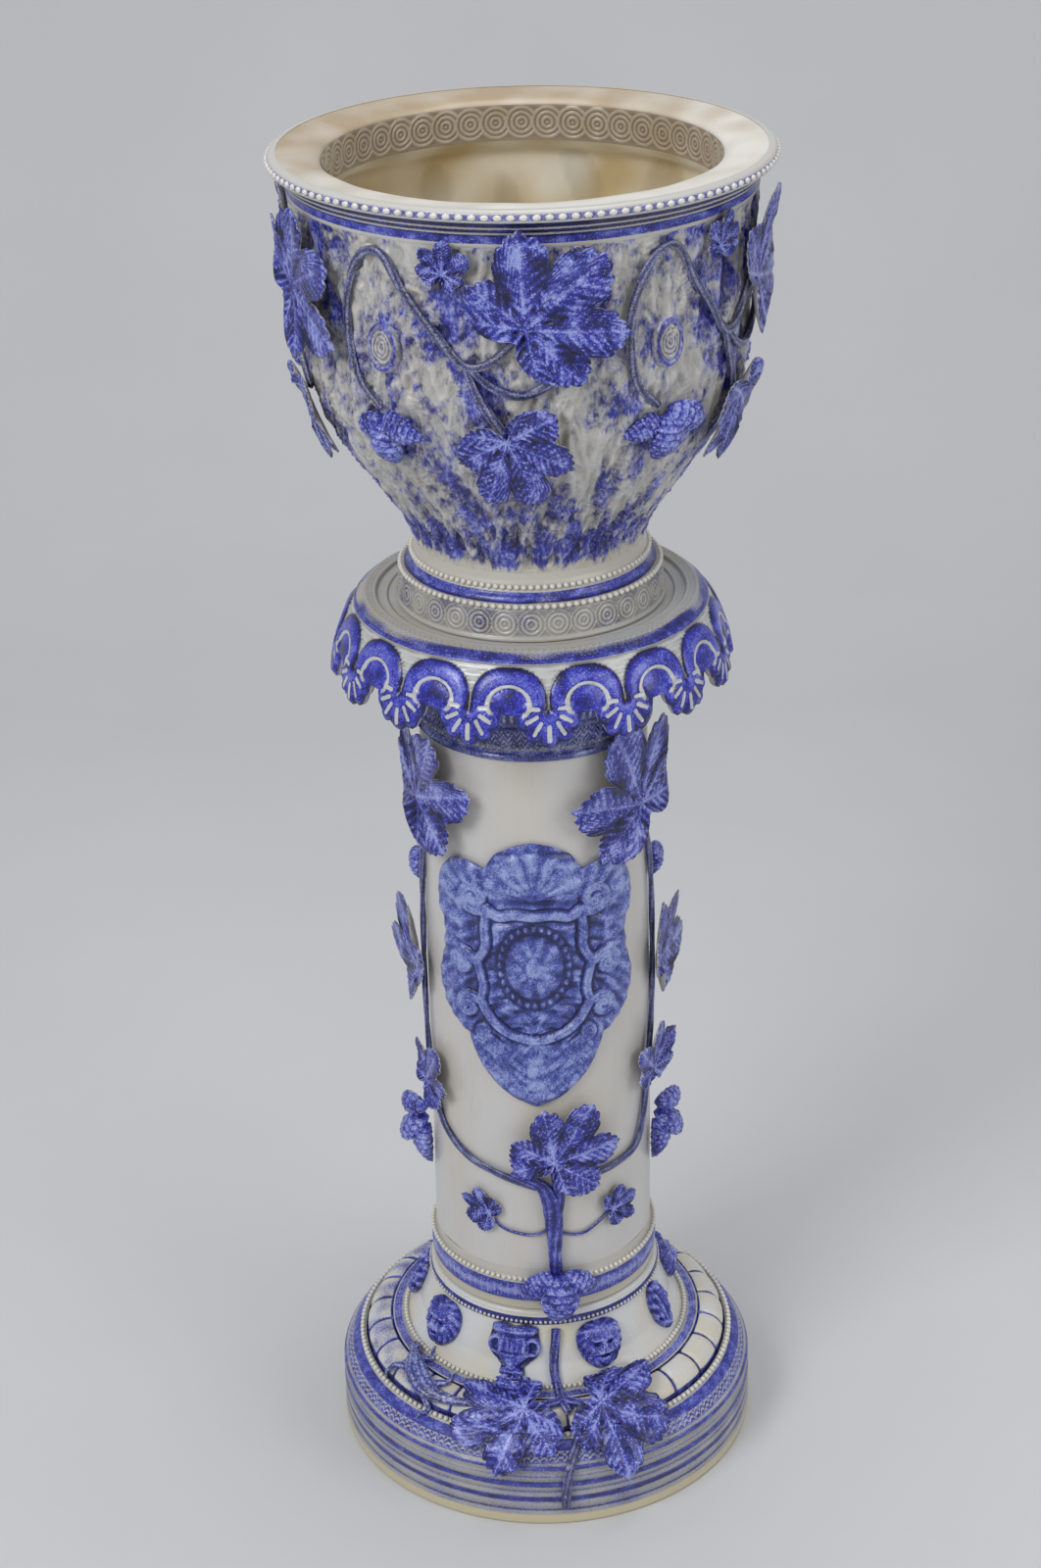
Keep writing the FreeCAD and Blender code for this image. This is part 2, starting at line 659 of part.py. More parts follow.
# ---------------------------------------------------------------- pot: thrown bowl on a foot
pot_seat = plate_seat + cell("plate_floor")
pot_foot = cell("pot_foot_radius")
foot_top = cell("foot_height")
lip_level = cell("pot_height") - cell("lip_height")
band_level = lip_level - cell("fillet_height")
shoulder_radius = cell("shoulder_radius")
pot_outer = [
    corner(pot_foot - 1, 0),
    corner(pot_foot, 2),
    corner(pot_foot - 4.5, foot_top - 20),
    corner(pot_foot - 5, foot_top - 20 + 2 * bead),
    corner(cell("waist_radius") + 5, foot_top - 7),
    corner(cell("waist_radius") + 3.5, foot_top - 7 + 2 * bead),
    corner(cell("waist_radius"), foot_top + 7),
    corner(cell("bowl_low_radius"), cell("bowl_low_height"), -3),
    corner(cell("bowl_mid_radius"), cell("bowl_mid_height")),
    corner(cell("belly_radius"), cell("belly_height"), cell("belly_swell")),
    corner(shoulder_radius, band_level),
    corner(shoulder_radius + 1.5, band_level + 2),
    corner(shoulder_radius + 1.5, band_level + 10),
    corner(shoulder_radius + 4, band_level + 11),
    corner(shoulder_radius + 7, band_level + 18),
    corner(cell("rim_radius") - 2, lip_level),
    corner(cell("rim_radius"), lip_level + 3),
    corner(cell("rim_radius") - 1, lip_level + 7),
    corner(cell("rim_radius") - 5, cell("pot_height")),
]
frieze_top = cell("pot_height") - 8
frieze_low = frieze_top - cell("frieze_height")
inside = shoulder_radius - cell("pot_wall")
floor_level = cell("foot_hollow_height") + cell("pot_floor")
pot_inner = [
    corner(cell("mouth_radius") + 3, cell("pot_height") - 5),
    corner(cell("mouth_radius"), frieze_top),
    corner(cell("mouth_radius"), frieze_low - 3),
    corner(inside, frieze_low - 14),
    corner(cell("belly_radius") - cell("pot_wall"), cell("belly_height")),
    corner(cell("bowl_mid_radius"), cell("bowl_mid_height") + cell("pot_wall") * 1.7),
    corner(cell("bowl_low_radius") - cell("pot_wall"), cell("bowl_low_height") + 4),
    corner(cell("bowl_low_radius") / 2, floor_level),
    corner(0, floor_level),
    corner(0, cell("foot_hollow_height")),
    corner(pot_foot - 46, cell("foot_hollow_height") - 2),
    corner(pot_foot - 22, 0),
]
pot = turned_body("pot", pot_outer + pot_inner, pot_seat)

# Oval knots stand out of the bark, one over each bay's hop cones.
half_wide, half_tall = cell("knot_width") / 2, cell("knot_height") / 2
knot_left, knot_right = 0 - half_wide * 0.64, half_wide * 0.64
knot_low = cell("knot_level") - half_tall * 0.7
knot_high = cell("knot_level") + half_tall * 0.7
side_swell, end_swell = half_wide * 0.36, half_tall * 0.3
knot = profile_sketch(pot, "knot_outline", [
    corner(knot_left, knot_low, side_swell), corner(knot_right, knot_low, end_swell),
    corner(knot_right, knot_high, side_swell), corner(knot_left, knot_high, end_swell)])
knot_root = cell("belly_radius") - cell("pot_wall") / 2
knot.setExpression("AttachmentOffset.Base.z", knot_root.text)
doc.recompute()
boss = pot.newObject("PartDesign::Pad", "knot_boss")
boss.Profile = knot
boss.setExpression("Length", (cell("pot_wall") / 2 + 3 + cell("knot_proud")).text)
boss.TaperAngle = -15
knot.Visibility = False
doc.recompute()
knots = pot.newObject("PartDesign::PolarPattern", "knots")
knots.Originals = [boss]
knots.Axis = (doc.getObject("pot_profile"), ["V_Axis"])
knots.Angle = 360
knots.setExpression("Occurrences", "sizes.bay_count")
pot.Tip = knots
doc.recompute()
if not pot.Shape.Volume > boss.Shape.Volume:
    raise ValueError("the knots of the pot add nothing")
half_bay = 180.0 / size("bay_count")
pot.Placement.Rotation = FreeCAD.Rotation(AXIS_UP, half_bay)
pieces.append(pot)
doc.recompute()

# ---------------------------------------------------------------- places on the three walls
pot_floor_level = pot_seat.number
pot_wall = Wall(pot_outer[6:11], pot_floor_level)
column_wall = Wall(column_outer[5:7], column_seat.number)
foot_wall = Wall([corner(foot + 0.5, 0), corner(foot + 0.5, cell("foot_band_height") + 1),
                  corner(cell("shaft_low_radius") + 1, cell("foot_band_height") + 12),
                  corner(cell("shaft_low_radius"), cell("foot_band_height") + 80)],
                 column_seat.number)
cone_wall = Wall(base_outer[11:14], 0)
drape_wall = Wall(base_outer[1:14], 0)
on_vine = size("vine_proud") + size("leaf_gap")


def pot_height_at(share):
    """A height on the bowl, as a share of the way from its foot to its upper band."""
    return pot_floor_level + foot_top.number + share * (band_level - foot_top).number


def shaft_height_at(share):
    """A height on the shaft, as a share of the way from its foot band to its neck."""
    low = column_seat.number + cell("foot_band_height").number + 4
    return low + share * (column_seat.number + neck.number - low)


# ---------------------------------------------------------------- pot: vines, leaves and hops
BAY_TURN = 360.0 / size("bay_count")
LEAF_TURNS = [(45, 0), (30, -2), (62, 3), (40, -3), (20, 2)]
bays = int(round(size("bay_count")))
small_leaves = []
for bay in range(bays):
    knot_turn = half_bay - BAY_TURN + bay * BAY_TURN
    heading, shift = LEAF_TURNS[bay % len(LEAF_TURNS)]
    leaf_turn = knot_turn + half_bay + shift * 0.5
    stem = [(knot_turn - 2, 0.55), (knot_turn - 9, 0.63), (knot_turn - 11, 0.78),
            (knot_turn - 8, 0.9), (knot_turn - 3, 0.965), (knot_turn + 2, 0.96),
            (knot_turn + 7, 0.87), (knot_turn + 14, 0.78), (knot_turn + 21, 0.695),
            (knot_turn + 28, 0.71), (leaf_turn, 0.8)]
    spray = [(knot_turn + 21, 0.695), (knot_turn + 25, 0.6), (leaf_turn - 5, 0.505)]
    route = [(turn, pot_height_at(share)) for turn, share in stem]
    branch = [(turn, pot_height_at(share)) for turn, share in spray]
    pieces.append(add_piece("pot_vine_%d" % (bay + 1), joined([
        vine(pot_wall, route), vine(pot_wall, branch)])))
    pieces.append(add_piece("pot_upper_leaf_%d" % (bay + 1), leaf(
        pot_wall, leaf_turn, pot_wall.along(pot_height_at(0.8)), size("pot_leaf_size"),
        heading, lift=on_vine, curl=0.28)))
    pieces.append(add_piece("pot_lower_leaf_%d" % (bay + 1), leaf(
        pot_wall, leaf_turn - 5, pot_wall.along(pot_height_at(0.505)),
        size("lower_leaf_size"), heading - 110, lift=on_vine, curl=0.34)))
    small_leaves.append(leaf(pot_wall, leaf_turn - 19, pot_wall.along(pot_height_at(0.93)),
                             size("small_leaf_size"), 80, curl=0.4))
    pieces.append(add_piece("pot_hops_%d" % (bay + 1), joined([
        hop_cone(pot_wall, knot_turn - 1, pot_height_at(0.52), 262),
        hop_cone(pot_wall, knot_turn - 1, pot_height_at(0.525), 216, lift=1.5),
        hop_cone(pot_wall, knot_turn - 1, pot_height_at(0.53), 318, lift=2.5)])))
pieces.append(add_piece("pot_small_leaves", Part.makeCompound(small_leaves)))

# ---------------------------------------------------------------- column: climbing plant
def climb(route, share=1.0):
    return vine(column_wall, [(turn, shaft_height_at(level)) for turn, level in route], share)


pieces.append(add_piece("trunk", climb([(5, 0.035), (4.8, 0.1), (3, 0.16), (3, 0.2),
                                        (6, 0.245)])))
left_route = [(0, 0.185), (-12, 0.2), (-26, 0.213), (-38, 0.225), (-50, 0.245),
              (-61, 0.275), (-70, 0.325), (-78, 0.4), (-84, 0.5), (-83, 0.6), (-80, 0.7),
              (-76, 0.79), (-70, 0.885)]
right_route = [(6.4, 0.185), (18, 0.2), (30, 0.204), (44, 0.208), (56, 0.222), (64, 0.27),
               (69, 0.345), (76, 0.42), (83, 0.52), (82, 0.62), (78, 0.72), (70, 0.8),
               (57, 0.885)]
pieces.append(add_piece("vine_left", climb(left_route)))
pieces.append(add_piece("vine_right", climb(right_route)))

# A moulded leaf of the climbing plant: name, size, turn, level, heading, lift, curl, fold.
COLUMN_LEAVES = [
    ("front_leaf", "front_leaf_size", 6, 0.245, 58, on_vine, 0.3, 0),
    ("small_leaf_left", "small_leaf_size", -28, 0.125, 160, 0, 0.3, 0),
    ("small_leaf_right", "small_leaf_size", 37, 0.115, 20, 0, 0.3, 0),
    ("upper_leaf_left", "upper_leaf_size", -70, 0.885, 62, on_vine, 0.34, 0),
    ("upper_leaf_right", "upper_leaf_size", 57, 0.885, 118, on_vine, 0.34, 0),
    ("curled_leaf_left", "curled_leaf_size", -84, 0.53, 140, on_vine, 0.3, -46),
    ("curled_leaf_right", "curled_leaf_size", 84, 0.53, 40, on_vine, 0.3, 46),
    ("side_leaf_left", "side_leaf_size", -70, 0.335, 60, on_vine, 0.3, 0),
    ("side_leaf_right", "side_leaf_size", 69, 0.35, 80, on_vine, 0.3, 20),
]
for name, alias, turn, level, heading, lift, curl, fold in COLUMN_LEAVES:
    place = column_wall.along(shaft_height_at(level))
    pieces.append(add_piece(name, leaf(column_wall, turn, place, size(alias), heading, lift,
                                       curl, fold)))
for side, name in ((-1, "left"), (1, "right")):
    pieces.append(add_piece("hop_pair_" + name, joined([
        hop_cone(column_wall, side * 92, shaft_height_at(0.74), 270 + side * 8, scale=0.8),
        hop_cone(column_wall, side * 92, shaft_height_at(0.735), 270 + side * 52, lift=1.5,
                 scale=0.8)])))
    pieces.append(add_piece("hop_trio_" + name, joined([
        hop_cone(column_wall, side * 88, shaft_height_at(0.2), 270 - side * 18),
        hop_cone(column_wall, side * 88, shaft_height_at(0.205), 270 + side * 28, lift=1.5),
        hop_cone(column_wall, side * 88, shaft_height_at(0.215), 270 + side * 82, lift=2.5)])))
foot_level = column_seat.number + cell("foot_band_height").number + 6
pieces.append(add_piece("hop_trio_front", joined([
    hop_cone(foot_wall, 7, foot_level, 268, scale=1.2),
    hop_cone(foot_wall, 6, foot_level + 1, 222, lift=1.5),
    hop_cone(foot_wall, 8, foot_level + 1, 318, lift=2.5)])))

# Shield-shaped cartouche with scrolled shoulders, pressed and laid on the front of the shaft.
CARTOUCHE_EDGE = [(0, 0.5), (0.09, 0.485), (0.17, 0.45), (0.22, 0.39), (0.31, 0.41),
                  (0.4, 0.4), (0.47, 0.34), (0.5, 0.25), (0.45, 0.13), (0.46, 0.04),
                  (0.5, -0.06), (0.47, -0.15), (0.4, -0.21), (0.32, -0.25), (0.27, -0.34),
                  (0.2, -0.41), (0.1, -0.47), (0, -0.5)]
cartouche_outline = [(x * size("cartouche_width"), y * size("cartouche_height"))
                     for x, y in CARTOUCHE_EDGE]
cartouche_outline += [(-x, y) for x, y in cartouche_outline[-2:0:-1]]
CARTOUCHE_RISE = [0.72, 0.66, 0.5, 1.0, 0.4]
cartouche_rings = len(CARTOUCHE_RISE) - 1


def cartouche_front(share, _):
    ring = int(round(share * cartouche_rings))
    return size("cartouche_gap") + size("cartouche_proud") * CARTOUCHE_RISE[ring]


pieces.append(add_piece("cartouche", sprig(
    column_wall, -2, column_wall.along(shaft_height_at(0.605)), cartouche_outline,
    cartouche_front, lambda share, _: size("cartouche_gap"), cartouche_rings, 6)))

# ---------------------------------------------------------------- base: reliefs on the cone
def relief_sprig(turn, radius_share, outline, scale, heights):
    """A small relief on the cone; heights run from its middle to its edge."""
    level = size("gadroon_height") + 8 + radius_share * (size("base_height")
                                                         - size("gadroon_height") - 22)
    edge = [(x * scale, y * scale) for x, y in outline]
    edge += [(-x, y) for x, y in edge[-2:0:-1]]
    last = len(heights) - 1

    def front(share, _):
        return size("seat_gap") + heights[int(round(share * last))] * scale

    return sprig(cone_wall, turn, cone_wall.along(level), edge, front,
                 lambda share, _: size("seat_gap"), last, 2)


MASK = [(0, 0.5), (0.24, 0.48), (0.42, 0.34), (0.46, 0.1), (0.4, -0.16), (0.28, -0.36),
        (0.14, -0.48), (0, -0.5)]
URN = [(0, 0.5), (0.38, 0.48), (0.42, 0.36), (0.28, 0.3), (0.4, 0.12), (0.36, -0.14),
       (0.16, -0.3), (0.3, -0.46), (0, -0.5)]
ACANTHUS = [(0, 0.55), (0.2, 0.5), (0.16, 0.36), (0.34, 0.26), (0.26, 0.06), (0.34, -0.14),
            (0.22, -0.32), (0.1, -0.46), (0, -0.62)]
MASK_HEIGHTS = [0.4, 0.24, 0.06]
URN_HEIGHTS = [0.3, 0.2, 0.06]
ACANTHUS_HEIGHTS = [0.26, 0.14, 0.05]
ORNAMENTS = {
    "lion_mask": (MASK, MASK_HEIGHTS, "mask_size", (1, 3, 5, 8)),
    "urn": (URN, URN_HEIGHTS, "urn_size", (2, 6)),
    "acanthus": (ACANTHUS, ACANTHUS_HEIGHTS, "acanthus_size", (0, 4, 7)),
}
ornament_places = sum(len(entry[3]) for entry in ORNAMENTS.values())
for name, (outline, heights, alias, places) in ORNAMENTS.items():
    for count, place in enumerate(places, start=1):
        turn = 5.3 - 100 + place * 360.0 / ornament_places
        pieces.append(add_piece("%s_%d" % (name, count), relief_sprig(
            turn, 0.62, outline, size(alias), heights)))


drape_length = drape_wall.lengths[-1]
CROTCH = (5, 0.6)
LEAF_HUBS = {"left": (-7, 0.55, 208), "right": (17, 0.55, -30)}
over_drape = (size("drape_gap") + size("vine_proud") + size("drape_leaf_gap")
              - size("seat_gap"))


def draped(route):
    """A stem over the ring and the drum, by (angle, share of the drape from the floor up)."""
    return rod(drape_wall, [(turn, drape_length * share, size("drape_gap"),
                             size("vine_width") / 2, size("vine_proud"))
                            for turn, share in route])


stalks = [draped([(5, 0.985), (4.4, 0.93), (3.4, 0.86), (3.2, 0.8), (4, 0.7), CROTCH,
                  (7, 0.54)])]
for side, (turn, share, heading) in LEAF_HUBS.items():
    middle = ((turn + CROTCH[0]) / 2, (share + CROTCH[1]) / 2)
    stalks.append(draped([CROTCH, middle, (turn, share)]))
    pieces.append(add_piece("base_leaf_" + side, leaf(
        drape_wall, turn, drape_length * share, size("base_leaf_size"), heading,
        lift=over_drape, curl=0.16)))
pieces.append(add_piece("base_stem", joined(stalks)))
pieces.append(add_piece("base_stem_tail", draped([(10, 0.47), (8.5, 0.41), (6.8, 0.35),
                                                  (5.4, 0.28), (4.8, 0.2), (4.5, 0.1)])))

# Lizard that creeps along the ring: a tapering body and four bent legs.
lizard_turn = math.degrees(size("lizard_length") / size("gadroon_outer_radius"))
LIZARD_BODY = [(0, 0.6, 5), (0.08, 0.6, 9), (0.17, 0.595, 7), (0.3, 0.585, 9.5),
               (0.47, 0.575, 10.5), (0.62, 0.565, 7), (0.8, 0.56, 4), (1.0, 0.565, 1.6)]
LIZARD_LEGS = [((0.27, 0.62), (0.31, 0.68), (0.22, 0.705)),
               ((0.25, 0.56), (0.2, 0.5), (0.13, 0.475)),
               ((0.56, 0.6), (0.62, 0.655), (0.56, 0.69)),
               ((0.58, 0.54), (0.66, 0.49), (0.6, 0.455))]


def lizard_spot(share, level):
    return -62 + share * lizard_turn, drape_length * level


lizard_parts = [rod(drape_wall, [lizard_spot(share, level) + (size("drape_gap"), half,
                                                                half * 1.5)
                                 for share, level, half in LIZARD_BODY], sides=8)]
for leg in LIZARD_LEGS:
    lizard_parts.append(rod(drape_wall, [lizard_spot(*spot) + (size("drape_gap"), half, 4.5)
                                         for spot, half in zip(leg, (3.6, 3.0, 3.4))]))
pieces.append(add_piece("lizard", joined(lizard_parts)))

# ---------------------------------------------------------------- check and write every piece
doc.recompute()
for item in doc.Objects:
    if "Invalid" in item.State or "Error" in item.State:
        raise ValueError("%s failed: %s" % (item.Label, item.State))
for piece in pieces:
    shape = piece.Shape
    if shape.isNull() or not shape.isValid() or not shape.Solids or shape.Volume <= 0:
        raise ValueError("%s has no sound shape" % piece.Label)
os.makedirs("parts", exist_ok=True)
for piece in pieces:
    piece.Shape.exportStep("parts/%s.step" % piece.Label)
print(len(pieces), "pieces written")
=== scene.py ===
import bpy
import math
import numpy as np
from mathutils import Matrix


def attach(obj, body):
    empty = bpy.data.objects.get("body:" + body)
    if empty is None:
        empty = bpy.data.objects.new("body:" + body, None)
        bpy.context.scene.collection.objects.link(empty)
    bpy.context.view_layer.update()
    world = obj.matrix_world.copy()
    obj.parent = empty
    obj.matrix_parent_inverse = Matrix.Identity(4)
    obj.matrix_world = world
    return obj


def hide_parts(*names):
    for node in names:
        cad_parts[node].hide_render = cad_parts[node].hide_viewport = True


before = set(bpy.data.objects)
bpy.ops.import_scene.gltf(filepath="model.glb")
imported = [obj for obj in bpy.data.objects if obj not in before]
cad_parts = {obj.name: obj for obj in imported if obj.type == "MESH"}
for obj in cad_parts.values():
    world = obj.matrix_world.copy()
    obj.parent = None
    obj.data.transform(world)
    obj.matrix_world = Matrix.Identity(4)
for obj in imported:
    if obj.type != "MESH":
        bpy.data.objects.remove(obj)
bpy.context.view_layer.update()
MM = 0.001

# ---------------------------------------------------------------- camera, floor and light
# The camera looks down on the rim from in front; its focal length, tilt and slight roll were
# worked out from the ellipses of the rim, the capital and the base.
tilt, roll, pan = math.radians(26.163), math.radians(1.2848), math.radians(0.3062)
turn = np.array([[math.cos(pan), -math.sin(pan), 0], [math.sin(pan), math.cos(pan), 0], [0, 0, 1]])
ahead = turn @ [0, math.cos(tilt), -math.sin(tilt)]
level_right = turn @ [1, 0, 0]
level_up = turn @ [0, math.sin(tilt), math.cos(tilt)]
right = level_right * math.cos(roll) - level_up * math.sin(roll)
up = level_right * math.sin(roll) + level_up * math.cos(roll)
camera = bpy.data.objects.new("camera", bpy.data.cameras.new("camera"))
bpy.context.scene.collection.objects.link(camera)
camera.matrix_world = Matrix([[right[i], up[i], -ahead[i], (0, -2.3471, 1.8151)[i]]
                              for i in range(3)] + [[0, 0, 0, 1]])
camera.data.lens = 3035.4 / 1600 * 36
camera.data.sensor_width = 36
bpy.context.scene.camera = camera
bpy.context.scene.view_settings.view_transform = "Standard"


def linear(code):
    """A colour written as sRGB hex, as linear red, green, blue and alpha."""
    parts = [int(code[index:index + 2], 16) / 255 for index in (0, 2, 4)]
    return tuple(part / 12.92 if part < 0.04045 else ((part + 0.055) / 1.055) ** 2.4
                 for part in parts) + (1.0,)


def add_node(material, kind, inputs=(), **settings):
    """A node with its settings and its inputs, each a plain value or a socket to link."""
    node = material.node_tree.nodes.new(kind)
    for key, value in settings.items():
        setattr(node, key, value)
    for key, value in dict(inputs).items():
        if isinstance(value, bpy.types.NodeSocket):
            material.node_tree.links.new(value, node.inputs[key])
        else:
            node.inputs[key].default_value = value
    return node


def new_material(name):
    """An empty node material with its output."""
    material = bpy.data.materials.new(name)
    material.use_nodes = True
    material.node_tree.nodes.clear()
    return material


def grid_faces(rows, columns, wrap, start=0):
    """Quads between the points of a grid that is stored row by row; wrap closes each row."""
    row = np.arange(rows - 1)[:, None]
    column = np.arange(columns if wrap else columns - 1)[None, :]
    after = (column + 1) % columns
    corners = [row * columns + column, row * columns + after,
               (row + 1) * columns + after, (row + 1) * columns + column]
    return np.stack(corners, -1).reshape(-1, 4) + start


def make_piece(name, points, faces, material, body=None, slot=None, nodes=(), **fields):
    """A smooth mesh object; fields are numbers per point, kept as attributes for its material."""
    mesh = bpy.data.meshes.new(name)
    faces = [faces] if isinstance(faces, np.ndarray) else faces
    mesh.from_pydata(np.asarray(points).reshape(-1, 3).tolist(), [],
                     [corners for part in faces for corners in part.tolist()])
    for key, values in fields.items():
        attribute = mesh.attributes.new(key, "FLOAT", "POINT")
        attribute.data.foreach_set("value", np.asarray(values, dtype=np.float32).ravel())
    mesh.shade_smooth()
    mesh.materials.append(material)
    piece = bpy.data.objects.new(name, mesh)
    bpy.context.scene.collection.objects.link(piece)
    if body:
        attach(piece, body)
    if nodes:
        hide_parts(*nodes)
    return piece


# Matt grey paper sweep: a floor that turns up into a backdrop behind the object.
paper = new_material("studio_paper_matt")
place = add_node(paper, "ShaderNodeTexCoord").outputs["Object"]
fibre = add_node(paper, "ShaderNodeTexNoise", {"Vector": place, "Scale": 3.0, "Detail": 3.0})
shade = add_node(paper, "ShaderNodeMix", {"Factor": fibre.outputs["Fac"], "A": linear("cbccce"),
                                          "B": linear("d2d3d5")}, data_type="RGBA")
skin = add_node(paper, "ShaderNodeBsdfPrincipled", {"Base Color": shade.outputs["Result"],
                                                    "Roughness": 0.9})
add_node(paper, "ShaderNodeOutputMaterial", {"Surface": skin.outputs["BSDF"]})
bend = np.linspace(0, math.pi / 2, 13)
sweep_y = np.concatenate([[-7.0], 1.6 + 1.5 * np.sin(bend), [3.1]])
sweep_z = np.concatenate([[0.0], 1.5 - 1.5 * np.cos(bend), [7.0]])
across = np.linspace(-7, 7, 9)
paper_points = np.stack(np.broadcast_arrays(across[None, :], sweep_y[:, None], sweep_z[:, None]),
                        -1)
make_piece("studio_sweep", paper_points, grid_faces(15, 9, False), paper)

world = bpy.data.worlds.new("studio")
bpy.context.scene.world = world
world.use_nodes = True
world.node_tree.nodes["Background"].inputs["Color"].default_value = linear("eff0f3")
world.node_tree.nodes["Background"].inputs["Strength"].default_value = 0.5
for name, spot, aim, size, power in (
        ("key_box", (-1.9, -2.3, 3.0), (0, 0, 0.75), 1.5, 62),
        ("fill_box", (2.6, -1.8, 1.9), (0, 0, 0.6), 1.8, 24),
        ("top_box", (0.2, 0.3, 3.4), (0, 0, 0.9), 1.6, 26)):
    lamp = bpy.data.objects.new(name, bpy.data.lights.new(name, "AREA"))
    lamp.data.size = size
    lamp.data.energy = power
    lamp.location = spot
    way = np.array(aim) - np.array(spot)
    lamp.rotation_euler = (math.atan2(math.hypot(way[0], way[1]), -way[2]), 0,
                           math.atan2(way[0], -way[1]) + math.pi)
    bpy.context.scene.collection.objects.link(lamp)


